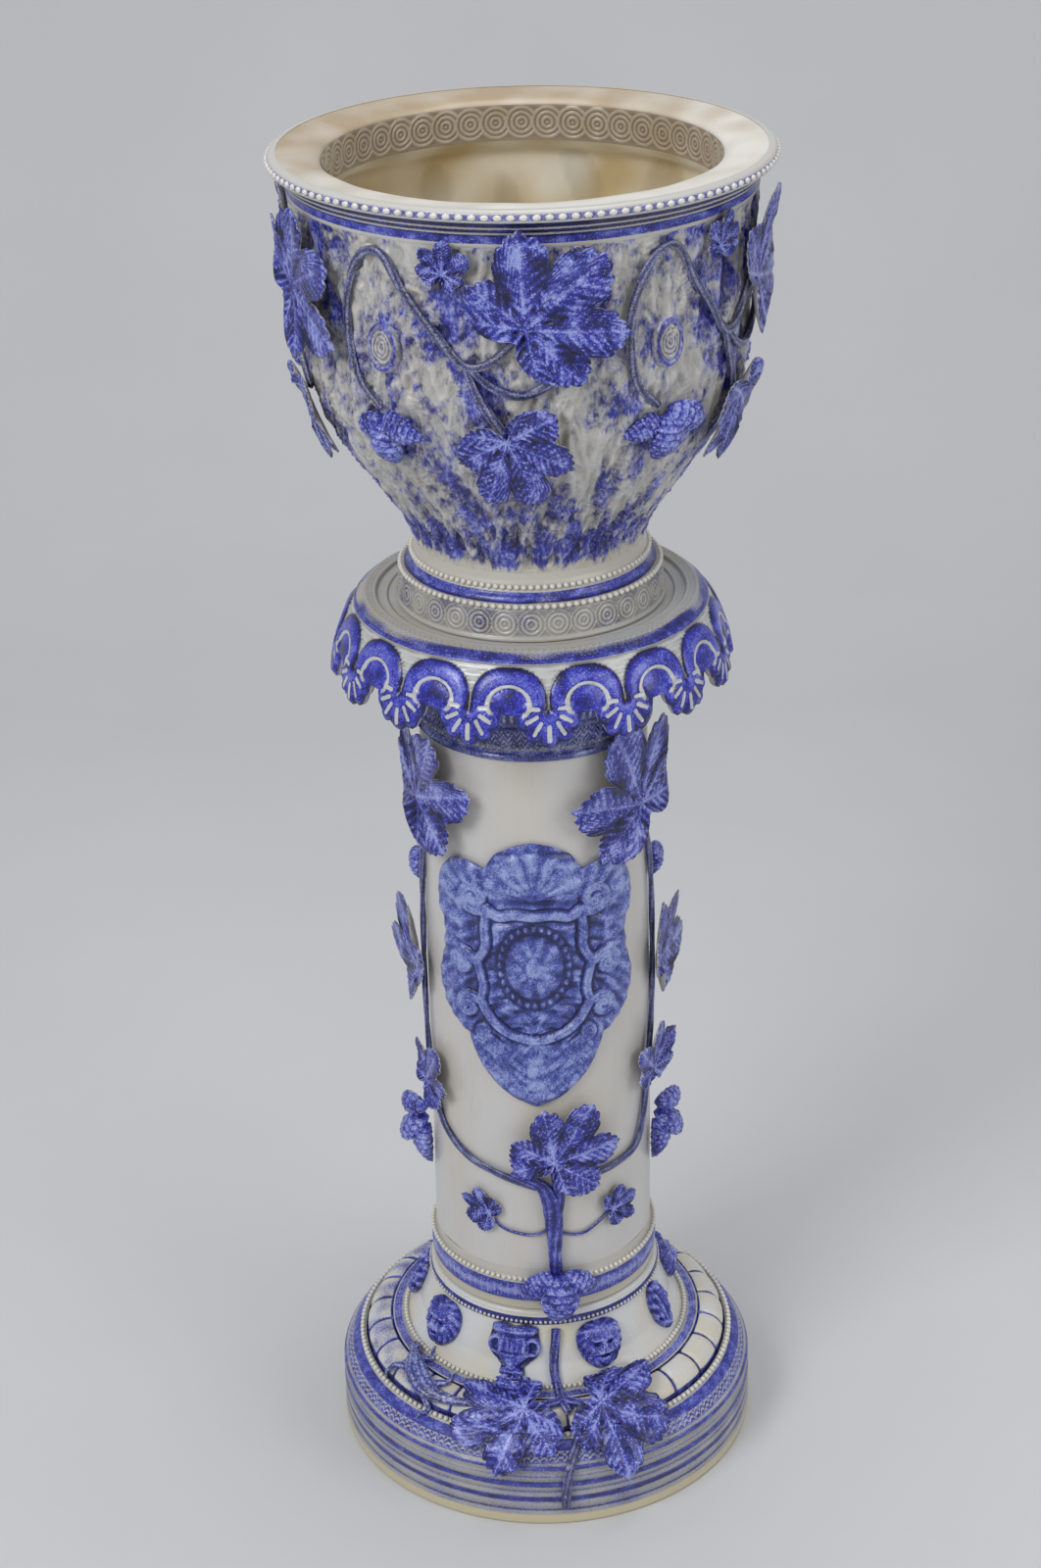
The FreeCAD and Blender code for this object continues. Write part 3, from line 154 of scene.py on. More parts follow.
# ---------------------------------------------------------------- salt-glazed stoneware
# Grey clay under a thin, pitted salt glaze, painted with cobalt that pools in the hollows and
# breaks on the edges.  Each piece says where: cobalt (0 bare, 1 painted), warm (0 grey glaze,
# 1 toasted clay) and hollow (-1 a ridge with painted highlight, 1 deep in a recess with painted
# shade), all worked out from its own shape.
def stoneware(name, glaze="bfc0c0", clay="c0b392", cobalt="3136a6", deep="181b58", pale="7f8acc",
              grain_mm=2.4, spread=0.55, streak=1.0, flecks=0.5, rough=0.3, pit_mm=1.1, pits=0.35,
              edge=0.26):
    """Stoneware whose cobalt edge is broken by a grain of grain_mm and runs out over edge;
    streak draws it upwards, flecks are white crumbs of salt, pits the orange-peel."""
    material = new_material(name)
    place = add_node(material, "ShaderNodeTexCoord").outputs["Object"]
    drawn = add_node(material, "ShaderNodeVectorMath", {0: place, 1: (1, 1, 1 / streak)},
                     operation="MULTIPLY").outputs["Vector"]
    grain = add_node(material, "ShaderNodeTexNoise", {
        "Vector": drawn, "Scale": 1 / (grain_mm * MM), "Detail": 4.0,
        "Roughness": 0.62}).outputs["Fac"]
    cloud = add_node(material, "ShaderNodeTexNoise", {
        "Vector": drawn, "Scale": 1 / (grain_mm * 7 * MM), "Detail": 3.0}).outputs["Fac"]
    crumb = add_node(material, "ShaderNodeTexNoise", {
        "Vector": place, "Scale": 1 / (1.3 * MM), "Detail": 2.0}).outputs["Fac"]

    painted = add_node(material, "ShaderNodeAttribute", attribute_name="cobalt").outputs["Fac"]
    warm = add_node(material, "ShaderNodeAttribute", attribute_name="warm").outputs["Fac"]
    hollow = add_node(material, "ShaderNodeAttribute", attribute_name="hollow").outputs["Fac"]
    # paint: smooth step of painted + 2.4 spread grain, edge wide on either side of its middle
    shifted = add_node(material, "ShaderNodeMath", {0: grain, 1: spread * 2.4, 2: painted},
                       operation="MULTIPLY_ADD").outputs["Value"]
    paint = add_node(material, "ShaderNodeMapRange", {
        "Value": shifted, "From Min": spread * 1.2 + 0.5 - edge,
        "From Max": spread * 1.2 + 0.5 + edge}, interpolation_type="SMOOTHSTEP").outputs["Result"]
    # the colour of the cobalt itself runs from a pale wash to nearly black where it is thick;
    # hollow adds painted shade to it, and below 0 pales it as painted highlight
    mottle = add_node(material, "ShaderNodeMath", {0: grain, 1: 1.0, 2: cloud},
                      operation="MULTIPLY_ADD").outputs["Value"]
    mottle = add_node(material, "ShaderNodeMapRange", {
        "Value": mottle, "From Min": 0.72, "From Max": 1.28}).outputs["Result"]
    thick = add_node(material, "ShaderNodeMath", {0: hollow, 1: 0.55, 2: mottle},
                     operation="MULTIPLY_ADD").outputs["Value"]
    body_blue = add_node(material, "ShaderNodeValToRGB", {"Fac": thick})
    ramp = body_blue.color_ramp
    ramp.elements[0].position, ramp.elements[0].color = 0.0, linear(pale)
    ramp.elements[1].position, ramp.elements[1].color = 0.95, linear(deep)
    ramp.elements.new(0.5).color = linear(cobalt)
    salt = add_node(material, "ShaderNodeMath", {0: hollow, 1: -0.11, 2: crumb},
                    operation="MULTIPLY_ADD").outputs["Value"]
    salted = add_node(material, "ShaderNodeMapRange", {
        "Value": salt, "From Min": 0.6, "From Max": 0.74, "To Max": flecks}).outputs["Result"]
    blue = add_node(material, "ShaderNodeMix", {
        "Factor": salted, "A": body_blue.outputs["Color"], "B": linear("c2c9e8")},
        data_type="RGBA").outputs["Result"]

    tint = add_node(material, "ShaderNodeMath", {0: cloud, 1: 0.5, 2: warm},
                    operation="MULTIPLY_ADD").outputs["Value"]
    tint = add_node(material, "ShaderNodeMapRange", {
        "Value": tint, "From Min": 0.22, "From Max": 1.2}).outputs["Result"]
    bare = add_node(material, "ShaderNodeMix", {"Factor": tint, "A": linear(glaze),
                                                "B": linear(clay)}, data_type="RGBA")
    both = add_node(material, "ShaderNodeMix", {
        "Factor": paint, "A": bare.outputs["Result"], "B": blue}, data_type="RGBA")
    # painted shade: the colour is multiplied by up to 0.72 towards dark grey-brown 6a6560 where
    # hollow runs from 0.1 to 1
    painted_shade = add_node(material, "ShaderNodeMapRange", {
        "Value": hollow, "From Min": 0.1, "From Max": 1.0, "To Max": 0.72}).outputs["Result"]
    colour = add_node(material, "ShaderNodeMix", {
        "Factor": painted_shade, "A": both.outputs["Result"], "B": linear("6a6560")},
        data_type="RGBA", blend_type="MULTIPLY")
    gloss = add_node(material, "ShaderNodeMapRange", {
        "Value": cloud, "To Min": rough - 0.07, "To Max": rough + 0.12}).outputs["Result"]
    peel = add_node(material, "ShaderNodeTexNoise", {
        "Vector": place, "Scale": 1 / (pit_mm * 2 * MM), "Detail": 2.0}).outputs["Fac"]
    relief = add_node(material, "ShaderNodeMath", {0: grain, 1: 0.6, 2: peel},
                      operation="MULTIPLY_ADD").outputs["Value"]
    bumps = add_node(material, "ShaderNodeBump", {"Strength": pits, "Distance": 0.6 * MM,
                                                  "Height": relief})
    skin = add_node(material, "ShaderNodeBsdfPrincipled", {
        "Base Color": colour.outputs["Result"], "Roughness": gloss,
        "Normal": bumps.outputs["Normal"], "Coat Weight": 0.25, "Coat Roughness": 0.12})
    add_node(material, "ShaderNodeOutputMaterial", {"Surface": skin.outputs["BSDF"]})
    return material


def turned_line(corners, step, seat=0, ease=0):
    """Points about step apart along a profile of (radius, height, swell) in mm, its corners
    eased and the whole lifted by seat; swell is how far the run that arrives at a corner bows to
    the right of its way, as a parabola."""
    line = [np.array(corners[0][:2], float)]
    for start, end in zip(corners, corners[1:]):
        a, b = np.array(start[:2], float), np.array(end[:2], float)
        swell = end[2] if len(end) > 2 else 0
        run = b - a
        outward = np.array([run[1], -run[0]]) / np.hypot(*run)
        count = max(1, int(round(np.hypot(*run) / step)))
        share = np.arange(1, count + 1)[:, None] / count
        line.extend(a + run * share + outward * swell * 4 * share * (1 - share))
    line = np.array(line)
    for _ in range(ease):
        line[1:-1] = line[1:-1] * 0.5 + (line[:-2] + line[2:]) * 0.25
    return line + [0, seat]


def turned_normal(line):
    """Outward direction of a profile at each of its points."""
    run = np.gradient(line, axis=0)
    return np.stack([run[:, 1], -run[:, 0]], 1) / np.hypot(run[:, 0], run[:, 1])[:, None]


def turned_piece(name, line, columns, material, body, slot, rise=None, fields=None, nodes=()):
    """A surface turned about +Z: P(i, j) = (r sin a, -r cos a, z) with (r, z) the profile point
    j moved out by rise(a, arc, line) mm, where a is the angle of column i from the front."""
    angle = np.linspace(-math.pi, math.pi, columns, endpoint=False)[None, :]
    arc = np.concatenate([[0], np.cumsum(np.hypot(*np.diff(line, axis=0).T))])[:, None]
    radius, height = line[:, :1], line[:, 1:]
    proud = rise(angle, arc, radius, height) if rise else np.zeros((len(line), columns))
    outward = turned_normal(line)
    far = (radius + outward[:, :1] * proud) * MM
    points = np.stack([far * np.sin(angle), -far * np.cos(angle),
                       (height + outward[:, 1:] * proud) * MM], -1)
    values = fields(angle, arc, radius, height, proud) if fields else {}
    shape = proud.shape
    cobalt, warm, hollow = (np.broadcast_to(values.get(key, 0.0), shape)
                            for key in ("cobalt", "warm", "hollow"))
    return make_piece(name, points, grid_faces(len(line), columns, True), material, body, slot,
                      nodes, cobalt=cobalt, warm=warm, hollow=hollow)


def noise(x, y, z, size, seed, waves=28):
    """Smooth seeded noise of deviation 1: a sum of cosines with random ways and phases whose
    wavelengths lie around size (mm)."""
    draw = np.random.default_rng(seed)
    way = draw.normal(size=(waves, 3))
    long = size * draw.uniform(0.7, 1.8, waves)
    way *= (2 * np.pi / long / np.linalg.norm(way, axis=1))[:, None]
    phase = draw.uniform(0, 2 * np.pi, waves)
    total = 0.0
    for (kx, ky, kz), shift in zip(way, phase):
        total = total + np.cos(kx * x + ky * y + kz * z + shift)
    return total * math.sqrt(2 / waves)


def soft(value, low, high):
    """Smooth step from 0 at low to 1 at high."""
    share = np.clip((value - low) / (high - low), 0, 1)
    return share * share * (3 - 2 * share)


def window(value, low, full, fading, gone):
    """Smooth step from 0 at low to 1 at full, and down again from fading to 0 at gone."""
    return soft(value, low, full) * soft(-value, -gone, -fading)


def bump(value, middle, width, power=2):
    """A bell of height 1: exp(-(distance from middle / width) ^ power)."""
    return np.exp(-((value - middle) / width) ** power)


def plan(angle, radius):
    """Place in plan of a point of a turned surface, for noise that closes round it."""
    return radius * np.sin(angle), radius * np.cos(angle)


# ---------------------------------------------------------------- pot: bowl modelled as bark
# Thrown bowl whose outside was cut and combed like bark: long flowing ridges part round oval
# knots, with short tool marks between them, sponged with cobalt.  z 900 to 1198 mm.
bark = stoneware("salt_glazed_bark_sponged_cobalt", glaze="c3c3c1", cobalt="3439aa", deep="1c2060",
                 pale="8f99d2", grain_mm=2.4, spread=0.7, streak=1.7, pits=0.8, rough=0.33,
                 edge=0.55)
POT_SEAT = 846
KNOT_LEVEL, KNOT_RINGS, KNOT_SPOKES, BAYS = 1112, 44, 72, 5
BOWL_CORNERS = [(97.5, 54), (120, 98, -3), (144, 135), (182, 234, 8.5), (189, 352)]
bowl = turned_line(BOWL_CORNERS, 1.38, POT_SEAT, 12)


def bay_offset(angle, shift, radius):
    """Distance round the wall in mm from the nearest place that repeats every 72 degrees."""
    step = 2 * math.pi / BAYS
    return ((angle - math.radians(shift) + step / 2) % step - step / 2) * radius


def bark_fields(angle, radius, height):
    """The flow lines of the bark (parted round its lobes), and the lobes' own strength."""
    near, far = bay_offset(angle, 36, radius), bay_offset(angle, 4, radius)
    lobes, push = 0.0, 0.0
    for dx, dz, wide, tall, share in (
            (near, height - KNOT_LEVEL - 4, 27, 60, 1.0), (far - 8, height - 1026, 22, 46, 0.75),
            (near + 50, height - 1004, 17, 40, 0.6), (far + 34, height - 1150, 15, 30, 0.4)):
        lobe = np.exp(-(dx / wide) ** 2 - (dz / tall) ** 2)
        lobes = lobes + share * lobe
        push = push + share * 13 * np.tanh(dx / 9) * np.exp(-(dx / 44) ** 2 - (dz / tall) ** 2)
    flow = angle + push / radius
    return near, lobes, flow


def bark_rise(angle, arc, radius, height):
    """Bark relief in mm: lobes 3.6, ridges 2 drawn out upwards, tool marks 0.6, and rims
    like lips round the lobes."""
    _, lobes, flow = bark_fields(angle, radius, height)
    x, y, z = 150 * np.sin(flow), 150 * np.cos(flow), height / 5
    ridge = 1 - np.abs(noise(x, y, z, 19, 1))
    fine = 1 - np.abs(noise(x, y, z * 1.5, 8, 2))
    hair = noise(x, y, height / 3.5, 4.5, 5)
    comb = soft(noise(x, y, height / 3, 20, 3), 0.2, 0.9)
    mark = np.abs(((height + 4 * noise(x, y, z, 12, 4)) / 4.6) % 1 - 0.5) * 2
    lips = np.cos(2 * np.pi * np.minimum(lobes, 1.1) * 3.2) * soft(lobes, 0.12, 0.3)
    ends = window(height, 898, 912, 1191, 1200)
    rise = (3.6 * lobes + 1.7 * ridge + 1.3 * fine + 0.3 * hair + 1.5 * comb * (mark - 0.5)
            + 0.9 * lips - 2.2)
    return rise * ends


def bark_colour(angle, arc, radius, height, proud):
    """Cobalt sponged in upright patches, thick near the waist, thin on lobes and ridges; hollow is
    painted shade in the valleys and, at -0.2, painted highlight on the ridges.
    """
    near, lobes, flow = bark_fields(angle, radius, height)
    x, y = 150 * np.sin(flow), 150 * np.cos(flow)
    patch = (0.95 * noise(x, y, height / 2, 34, 11) + 0.65 * noise(x, y, height / 2, 14, 12)
             + 0.55 * noise(x, y, height / 1.8, 5.5, 14))
    bias = (-0.45 + 1.7 * bump(height, 924, 20) - 3.5 * soft(-height, -911, -899)
            + 0.45 * bump(height, 1150, 40) - 0.9 * np.minimum(lobes, 1)
            + 0.5 * bump(height, 972, 34))
    oval = np.hypot(near / 13, (height - KNOT_LEVEL) / 19)
    cobalt = 0.46 + 0.3 * (patch + bias) + 0.5 * bump(oval, 1.0, 0.2)
    valley = soft(-proud + 3.6 * lobes, -0.4, 2.0)
    return {"cobalt": np.clip(cobalt + 0.1 * valley, 0, 1),
            "warm": 0.12 + 0.3 * soft(-height, -915, -898), "hollow": 0.5 * valley - 0.2}


half = len(bowl) // 2
turned_piece("pot_bark", bowl[:half + 1], 680, bark, "pot", "pot_body", bark_rise, bark_colour,
             ("pot",))
turned_piece("pot_bark_upper", bowl[half:], 720, bark, "pot", "pot_body", bark_rise, bark_colour)

# Oval knots over the bark, each a bulging eye of four rings inside a rolled lip.
knot_share = np.linspace(0.02, 1.42, KNOT_RINGS)[:, None]
spin = np.linspace(0, 2 * np.pi, KNOT_SPOKES, endpoint=False)[None, :]
knot_x, knot_z = 11.5 * knot_share * np.cos(spin), 17 * knot_share * np.sin(spin)
knot_rise = (1.6 + 2.4 * bump(knot_share, 1.0, 0.17)
             + (1.5 - 1.2 * knot_share ** 2 + 0.6 * np.cos(2 * np.pi * knot_share * 4.2))
             * soft(-knot_share, -0.92, -0.78) - 6.5 * soft(knot_share, 1.15, 1.42))
knot_points, knot_faces = [], []
for bay in range(BAYS):
    angle = np.radians(-36 + 72 * bay) + knot_x / 184
    radius = 184.4 + knot_rise + 0.35 * noise(knot_x, knot_z, 0 * knot_x, 9, bay + 3) + 1.4
    knot_points.append(np.stack([radius * np.sin(angle), -radius * np.cos(angle),
                                 KNOT_LEVEL + knot_z + 0 * radius], -1).reshape(-1, 3) * MM)
    knot_faces.append(grid_faces(KNOT_RINGS, KNOT_SPOKES, True,
                                 bay * KNOT_RINGS * KNOT_SPOKES)[:, ::-1])
knot_blue = (0.62 * bump(knot_share, 1.02, 0.16)
             + 0.25 * (0.5 - 0.5 * np.cos(2 * np.pi * knot_share * 4.2)) + 0.2 + 0 * spin)
# hollow: painted shade in the grooves between the rings inside each knot's eye
make_piece("pot_knots", np.concatenate(knot_points), knot_faces, bark, "pot", "pot_body",
           cobalt=np.tile(knot_blue.ravel(), BAYS),
           warm=np.full(BAYS * KNOT_RINGS * KNOT_SPOKES, 0.15),
           hollow=np.tile((0.55 * soft(-np.cos(2 * np.pi * knot_share * 4.2), -0.2, 0.9)
                           * soft(-knot_share, -0.95, -0.85) + 0 * spin).ravel(), BAYS))

# ---------------------------------------------------------------- pot: upper bands, lip and rim
# Turned fillets in dark cobalt under a lip that is beaded with small lozenges; the broad flat
# rim is bare and toasted at the back.  z 1198 to 1230 mm.
stamped = stoneware("salt_glazed_bands_stamped", grain_mm=1.6, spread=0.3, streak=0.5, flecks=0.6)
toasted = stoneware("toasted_clay_thin_glaze", glaze="dedbd2", clay="a9967a", grain_mm=5,
                    spread=0.4, rough=0.36, pits=0.25, pit_mm=1.6)
upper = turned_line([(187.6, 350), (189.3, 353), (189.3, 361), (191.5, 362), (191.5, 365),
                     (194.5, 366.5), (194.5, 370), (199, 372.2), (199, 373.6), (203, 374.4),
                     (203.6, 376), (203.4, 381.2), (201, 383.7), (196, 384)], 0.9, POT_SEAT, 2)


def upper_rise(angle, arc, radius, height):
    """Rows of stamped dots 2.6 mm apart on the fillets, 0.35 mm proud."""
    dots = np.cos(angle * 440)
    rows = (bump(height, 1209.4, 0.9) + bump(height, 1214.2, 0.9)
            + bump(height, 1199.8, 1.1))
    return 0.35 * dots * rows


def upper_colour(angle, arc, radius, height, proud):
    """Cobalt 0.95 on the fillets, 0.2 on their two rows of dots and 0.62 on the lip, between
    smooth steps of height; hollow 0.75 between the fillets, less on the dots, as painted shade;
    warm grows towards the back."""
    band = window(height, 1200.5, 1201.5, 1219.5, 1221)
    rows = (bump(height, 1209.4, 1.0) + bump(height, 1214.2, 1.0))
    back = soft(-np.cos(angle), 0.2, 1.0)
    lip = 0.62 * window(height, 1221, 1223, 1226, 1229.6)
    return {"cobalt": np.clip(band * (0.95 - 0.75 * rows) + lip, 0, 1), "warm": 0.15 + 0.5 * back,
            "hollow": 0.75 * window(height, 1207.2, 1208.4, 1218.5, 1220) * (1 - 0.8 * rows)}


turned_piece("pot_upper_bands", upper, 720, stamped, "pot", "pot_body", upper_rise, upper_colour)

rim = turned_line([(196, 384), (188, 383.4), (178, 382.4), (167, 380.6), (162.6, 378.4),
                   (160.4, 376.4)], 1.5, POT_SEAT, 2)


def rim_rise(angle, arc, radius, height):
    """Throwing marks and a slight waver of the flat rim, 0.3 mm."""
    x, y = plan(angle, radius)
    return -0.25 + 0.25 * noise(x, y, 0 * x, 60, 21) * soft(-radius, -195, -188)


def rim_colour(angle, arc, radius, height, proud):
    """Warm grows from 0.06 in front to 0.86 at the back, plus 0.09 noise; hollow 0.5 at the
    mouth's edge, painted shade where the rim turns down into the mouth."""
    x, y = plan(angle, radius)
    back = soft(-np.cos(angle - 0.6), -0.7, 0.9)
    return {"warm": 0.06 + 0.8 * back + 0.09 * noise(x, y, 0 * x, 38, 22),
            "hollow": 0.5 * soft(-radius, -162.2, -161)}


turned_piece("pot_rim", rim, 280, toasted, "pot", "pot_body", rim_rise, rim_colour)

# Frieze of concentric rings, each overlapping the next, stamped inside the mouth.
frieze = turned_line([(160.4, 376.4), (159.9, 375), (159.9, 348), (160.4, 346.2)], 1.0, POT_SEAT)


def ring_stamp(along, across, pitch, reach, spacing):
    """Relief of overlapping ring stamps: the nearer left centre's rings, or the next one's
    where that one doesn't reach.  Returns the ring wave from -1 to 1."""
    here = (along / pitch) % 1 * pitch
    first, second = np.hypot(here, across), np.hypot(here - pitch, across)
    distance = np.where(first < reach, first, second)
    return np.where(distance < reach * 1.02, np.cos(2 * np.pi * distance / spacing), -0.6)


def frieze_rise(angle, arc, radius, height):
    """Ring stamps 0.5 mm proud, 46 round the mouth, faded at both edges of the band."""
    edge = window(height, 1193, 1195, 1220, 1222)
    return 0.5 * edge * ring_stamp(angle * 160, height - 1207.5, 2 * np.pi * 160 / 46, 14, 4.2)


def frieze_colour(angle, arc, radius, height, proud):
    """Warm 0.5, and 0.75 at the back; hollow, painted shade inside the mouth, 0.2, plus 0.8 where
    the stamps sink, 0.4 at the lower edge and 0.5 at the upper one."""
    return {"warm": 0.5 + 0.25 * soft(-np.cos(angle), -0.4, 0.8),
            "hollow": 0.2 + soft(-proud, -0.1, 0.5) * 0.8 + 0.4 * soft(-height, -1195, -1192.5)
            + 0.5 * soft(height, 1220.5, 1222)}


turned_piece("pot_mouth_frieze", frieze, 920, toasted, "pot", "pot_body", frieze_rise,
             frieze_colour)

# Inside of the bowl: thin ivory glaze over clay that was pressed out into the lobes.
inner = turned_line([(160.4, 346.2), (162.5, 343.5), (161, 341.5), (175, 332), (168, 234),
                     (144, 158.8), (106, 102), (60, 80.2), (3, 80.2)], 4.0, POT_SEAT, 2)


def inner_rise(angle, arc, radius, height):
    """Noise of 62 mm wavelength and 2.8 mm deviation, faded at the floor's middle and the top."""
    x, y = plan(angle, radius)
    ends = soft(radius, 10, 60) * soft(-height, -1187, -1175)
    return 2.8 * noise(x, y, height / 1.5, 62, 31) * ends


def inner_colour(angle, arc, radius, height, proud):
    """Warm 0.45 plus 0.28 noise; hollow, painted shade, 0.35 where the wall sinks by 0.5 to
    2.6 mm, and 0.4 at the top edge."""
    x, y = plan(angle, radius)
    return {"warm": 0.45 + 0.28 * noise(x, y, height, 60, 32), "hollow":
            0.35 * soft(-proud, 0.5, 2.6) + 0.4 * soft(height, 1183, 1190)}


ivory = stoneware("ivory_glaze_over_clay", glaze="e6e1d2", clay="bfab80", grain_mm=6, spread=0.4,
                  rough=0.33, pits=0.3, pit_mm=2.2)
turned_piece("pot_interior", inner, 200, ivory, "pot", "pot_body", inner_rise, inner_colour)

# Foot: a blue hollow between two rows of beads, and a flared band with a ring frieze.
sole = turned_line([(60, 64), (93.5, 0.4), (112, 0)], 5.0, POT_SEAT)


def wheel_marks(depth, pitch):
    """Rise of a thrown lining: a slow spiral, depth cos(2 pi arc / pitch + angle) mm."""
    return lambda angle, arc, radius, height: depth * np.cos(2 * np.pi * arc / pitch + angle)


def even_tint(**values):
    """The same fields all over a piece."""
    return lambda angle, arc, radius, height, proud: values


turned_piece("pot_sole", sole, 160, toasted, "pot", "pot_body", wheel_marks(0.2, 18),
             even_tint(warm=0.6, hollow=0.1))
foot = turned_line([(112, 0), (114.4, 0.6), (115.4, 2), (115.4, 3.6), (114, 5), (111.2, 27),
                    (110, 28.4)], 0.9, POT_SEAT)


def foot_rise(angle, arc, radius, height):
    """Ring stamps 0.55 mm proud, 32 round the foot, faded at the band's edges, less 0.3 mm."""
    edge = window(height, 851, 852.6, 871.5, 873) * soft(radius, 108, 111)
    stamps = ring_stamp(angle * 113, height - 861.5, 2 * np.pi * 113 / 32, 11.6, 3.9)
    return 0.55 * edge * stamps - 0.3


def foot_colour(angle, arc, radius, height, proud):
    """A wash of cobalt, 0.2 plus 0.2 where the stamps sink plus 0.08 noise; hollow, painted
    shade, 0.2, plus 0.4 where they sink."""
    x, y = plan(angle, radius)
    wash = 0.2 + 0.2 * soft(-proud, -0.2, 0.4) + 0.08 * noise(x, y, height, 30, 43)
    return {"cobalt": wash * soft(height, 850, 853), "warm": 0.22,
            "hollow": 0.2 + soft(-proud, -0.1, 0.6) * 0.4 * soft(height, 849, 852)}


turned_piece("pot_foot_band", foot, 800, stamped, "pot", "pot_body", foot_rise, foot_colour)

waist = turned_line([(110, 28.4), (109.4, 31.4), (106, 32.2), (103.6, 35), (102.6, 39),
                     (100.4, 40.6), (99.6, 45.4), (98.2, 48.5), (97.6, 55)], 0.8, POT_SEAT, 2)


def waist_colour(angle, arc, radius, height, proud):
    """Cobalt 0.9 plus 0.14 noise in the hollow between the two bead rows; hollow 0.5, painted
    shade, in its lower part and in a bell beside each row."""
    x, y = plan(angle, radius)
    band = window(height, 877.4, 878.4, 885.2, 886.2)
    beside = 0.5 * bump(height, 889.2, 2.6) + 0.5 * bump(height, 875.4, 2.4)
    return {"cobalt": band * (0.9 + 0.14 * noise(x, y, height, 40, 41)), "warm": 0.3,
            "hollow": 0.5 * band * soft(-height, -880, -878.5) + beside}


turned_piece("pot_waist_band", waist, 360, stamped, "pot", "pot_body", None, waist_colour)


BEAD_SPOKES, BEAD_RINGS = 8, 5


def ball_rows(name, rows, material, body, slot, **shades):
    """Merged beads, each a ball of 8 x 5 points; a row is (radius, height, count, across, tall)
    in mm, and its beads sit with their middle on the row's radius."""
    turn = np.linspace(0, 2 * np.pi, BEAD_SPOKES, endpoint=False)
    fall = np.linspace(0, np.pi, BEAD_RINGS)[:, None]
    unit = np.stack([np.sin(fall) * np.cos(turn), np.sin(fall) * np.sin(turn),
                     np.cos(fall) + 0 * turn], -1).reshape(-1, 3)
    faces, points, start = [], [], 0
    one = grid_faces(BEAD_RINGS, BEAD_SPOKES, True)[:, ::-1]
    for radius, height, count, across, tall in rows:
        angle = np.linspace(0, 2 * np.pi, count, endpoint=False)[:, None]
        out = radius + unit[:, 0] * tall / 2
        side = unit[:, 1] * across / 2
        x = out * np.sin(angle) + side * np.cos(angle)
        y = -out * np.cos(angle) + side * np.sin(angle)
        z = height + unit[:, 2] * tall / 2 + 0 * angle
        points.append(np.stack([x, y, z], -1).reshape(-1, 3) * MM)
        shift = np.arange(count)[:, None, None] * len(unit) + start
        faces.append((one[None] + shift).reshape(-1, 4))
        start += count * len(unit)
    points, faces = np.concatenate(points), np.concatenate(faces)
    count = len(points)
    values = {key: np.full(count, shades.get(key, 0.0)) for key in ("cobalt", "warm", "hollow")}
    return make_piece(name, points, faces, material, body, slot, (), **values)


bead_clay = stoneware("salt_glazed_beads_white", glaze="dddbd3", clay="cfc5aa", grain_mm=1.2,
                      flecks=0.2, pits=0.2)
ball_rows("pot_beads", [(100.6, 889.6, 108, 4.7, 4.9), (110.2, 876.2, 110, 5.1, 5.0)],
          bead_clay, "pot", "pot_body", warm=0.15)
ball_rows("pot_lip_lozenges", [(203.2, 1224.6, 132, 7.4, 4.9)], bead_clay, "pot", "pot_body",
          cobalt=0.26)


# ---------------------------------------------------------------- sprigs: leaves, hops and vines
# Clay pressed in moulds and luted on: each sprig is laid on the wall that carries it by its
# angle from the front and its length along the wall's profile, and closed front and back.
def make_wall(corners, seat):
    """A wall's profile in mm and the length along it at each of its points."""
    line = turned_line(corners, 3.0, seat)
    return line, np.concatenate([[0], np.cumsum(np.hypot(*np.diff(line, axis=0).T))])


def wall_spot(wall, along):
    """Profile points at lengths, continued straight past both ends."""
    line, lengths = wall
    along = np.asarray(along, float)
    index = np.clip(np.searchsorted(lengths, along) - 1, 0, len(lengths) - 2)
    share = (along - lengths[index]) / (lengths[index + 1] - lengths[index])
    return line[index] + (line[index + 1] - line[index]) * share[..., None]


def on_wall(wall, angle, along, across, upward, proud):
    """Points moved across and up the wall from (angle, along) and proud of it, in metres."""
    reach = along + upward
    spot = wall_spot(wall, reach)
    run = wall_spot(wall, reach + 9) - wall_spot(wall, reach - 9)
    size = np.hypot(run[..., 0], run[..., 1])[..., None]
    outward = np.stack([run[..., 1], -run[..., 0]], -1) / size
    radius = spot[..., 0] + outward[..., 0] * proud
    way = np.radians(angle) + across / spot[..., 0]
    return np.stack([radius * np.sin(way), -radius * np.cos(way),
                     spot[..., 1] + outward[..., 1] * proud], -1) * MM


def length_at(wall, height):
    """Length along a wall's profile at a height, between its points in proportion."""
    return float(np.interp(height, wall[0][:, 1], wall[1]))


def closed_skin(rows, **fields):
    """A skin through rows of points (R x C x 3), each row a ring, closed at both ends."""
    count, columns = rows.shape[:2]
    points = np.concatenate([rows.reshape(-1, 3), rows[:1].mean(1), rows[-1:].mean(1)])
    ring = np.arange(columns)
    after, last = (ring + 1) % columns, (count - 1) * columns
    faces = [grid_faces(count, columns, True)[:, ::-1],
             np.stack([0 * ring + count * columns, ring, after], 1),
             np.stack([0 * ring + count * columns + 1, last + after, last + ring], 1)]
    values = {}
    for key in ("cobalt", "warm", "hollow"):
        value = np.broadcast_to(fields.get(key, 0.0), rows.shape[:2])
        values[key] = np.concatenate([value.ravel(), [value[0].mean(), value[-1].mean()]])
    return points, faces, values


def skin_piece(name, skins, material, body, slot, *nodes):
    """One piece out of several closed skins, in place of CAD nodes."""
    starts = np.concatenate([[0], np.cumsum([len(skin[0]) for skin in skins])])
    faces = [part + start for skin, start in zip(skins, starts) for part in skin[1]]
    fields = {key: np.concatenate([skin[2][key] for skin in skins])
              for key in ("cobalt", "warm", "hollow")}
    return make_piece(name, np.concatenate([skin[0] for skin in skins]), faces, material, body,
                      slot, nodes, **fields)


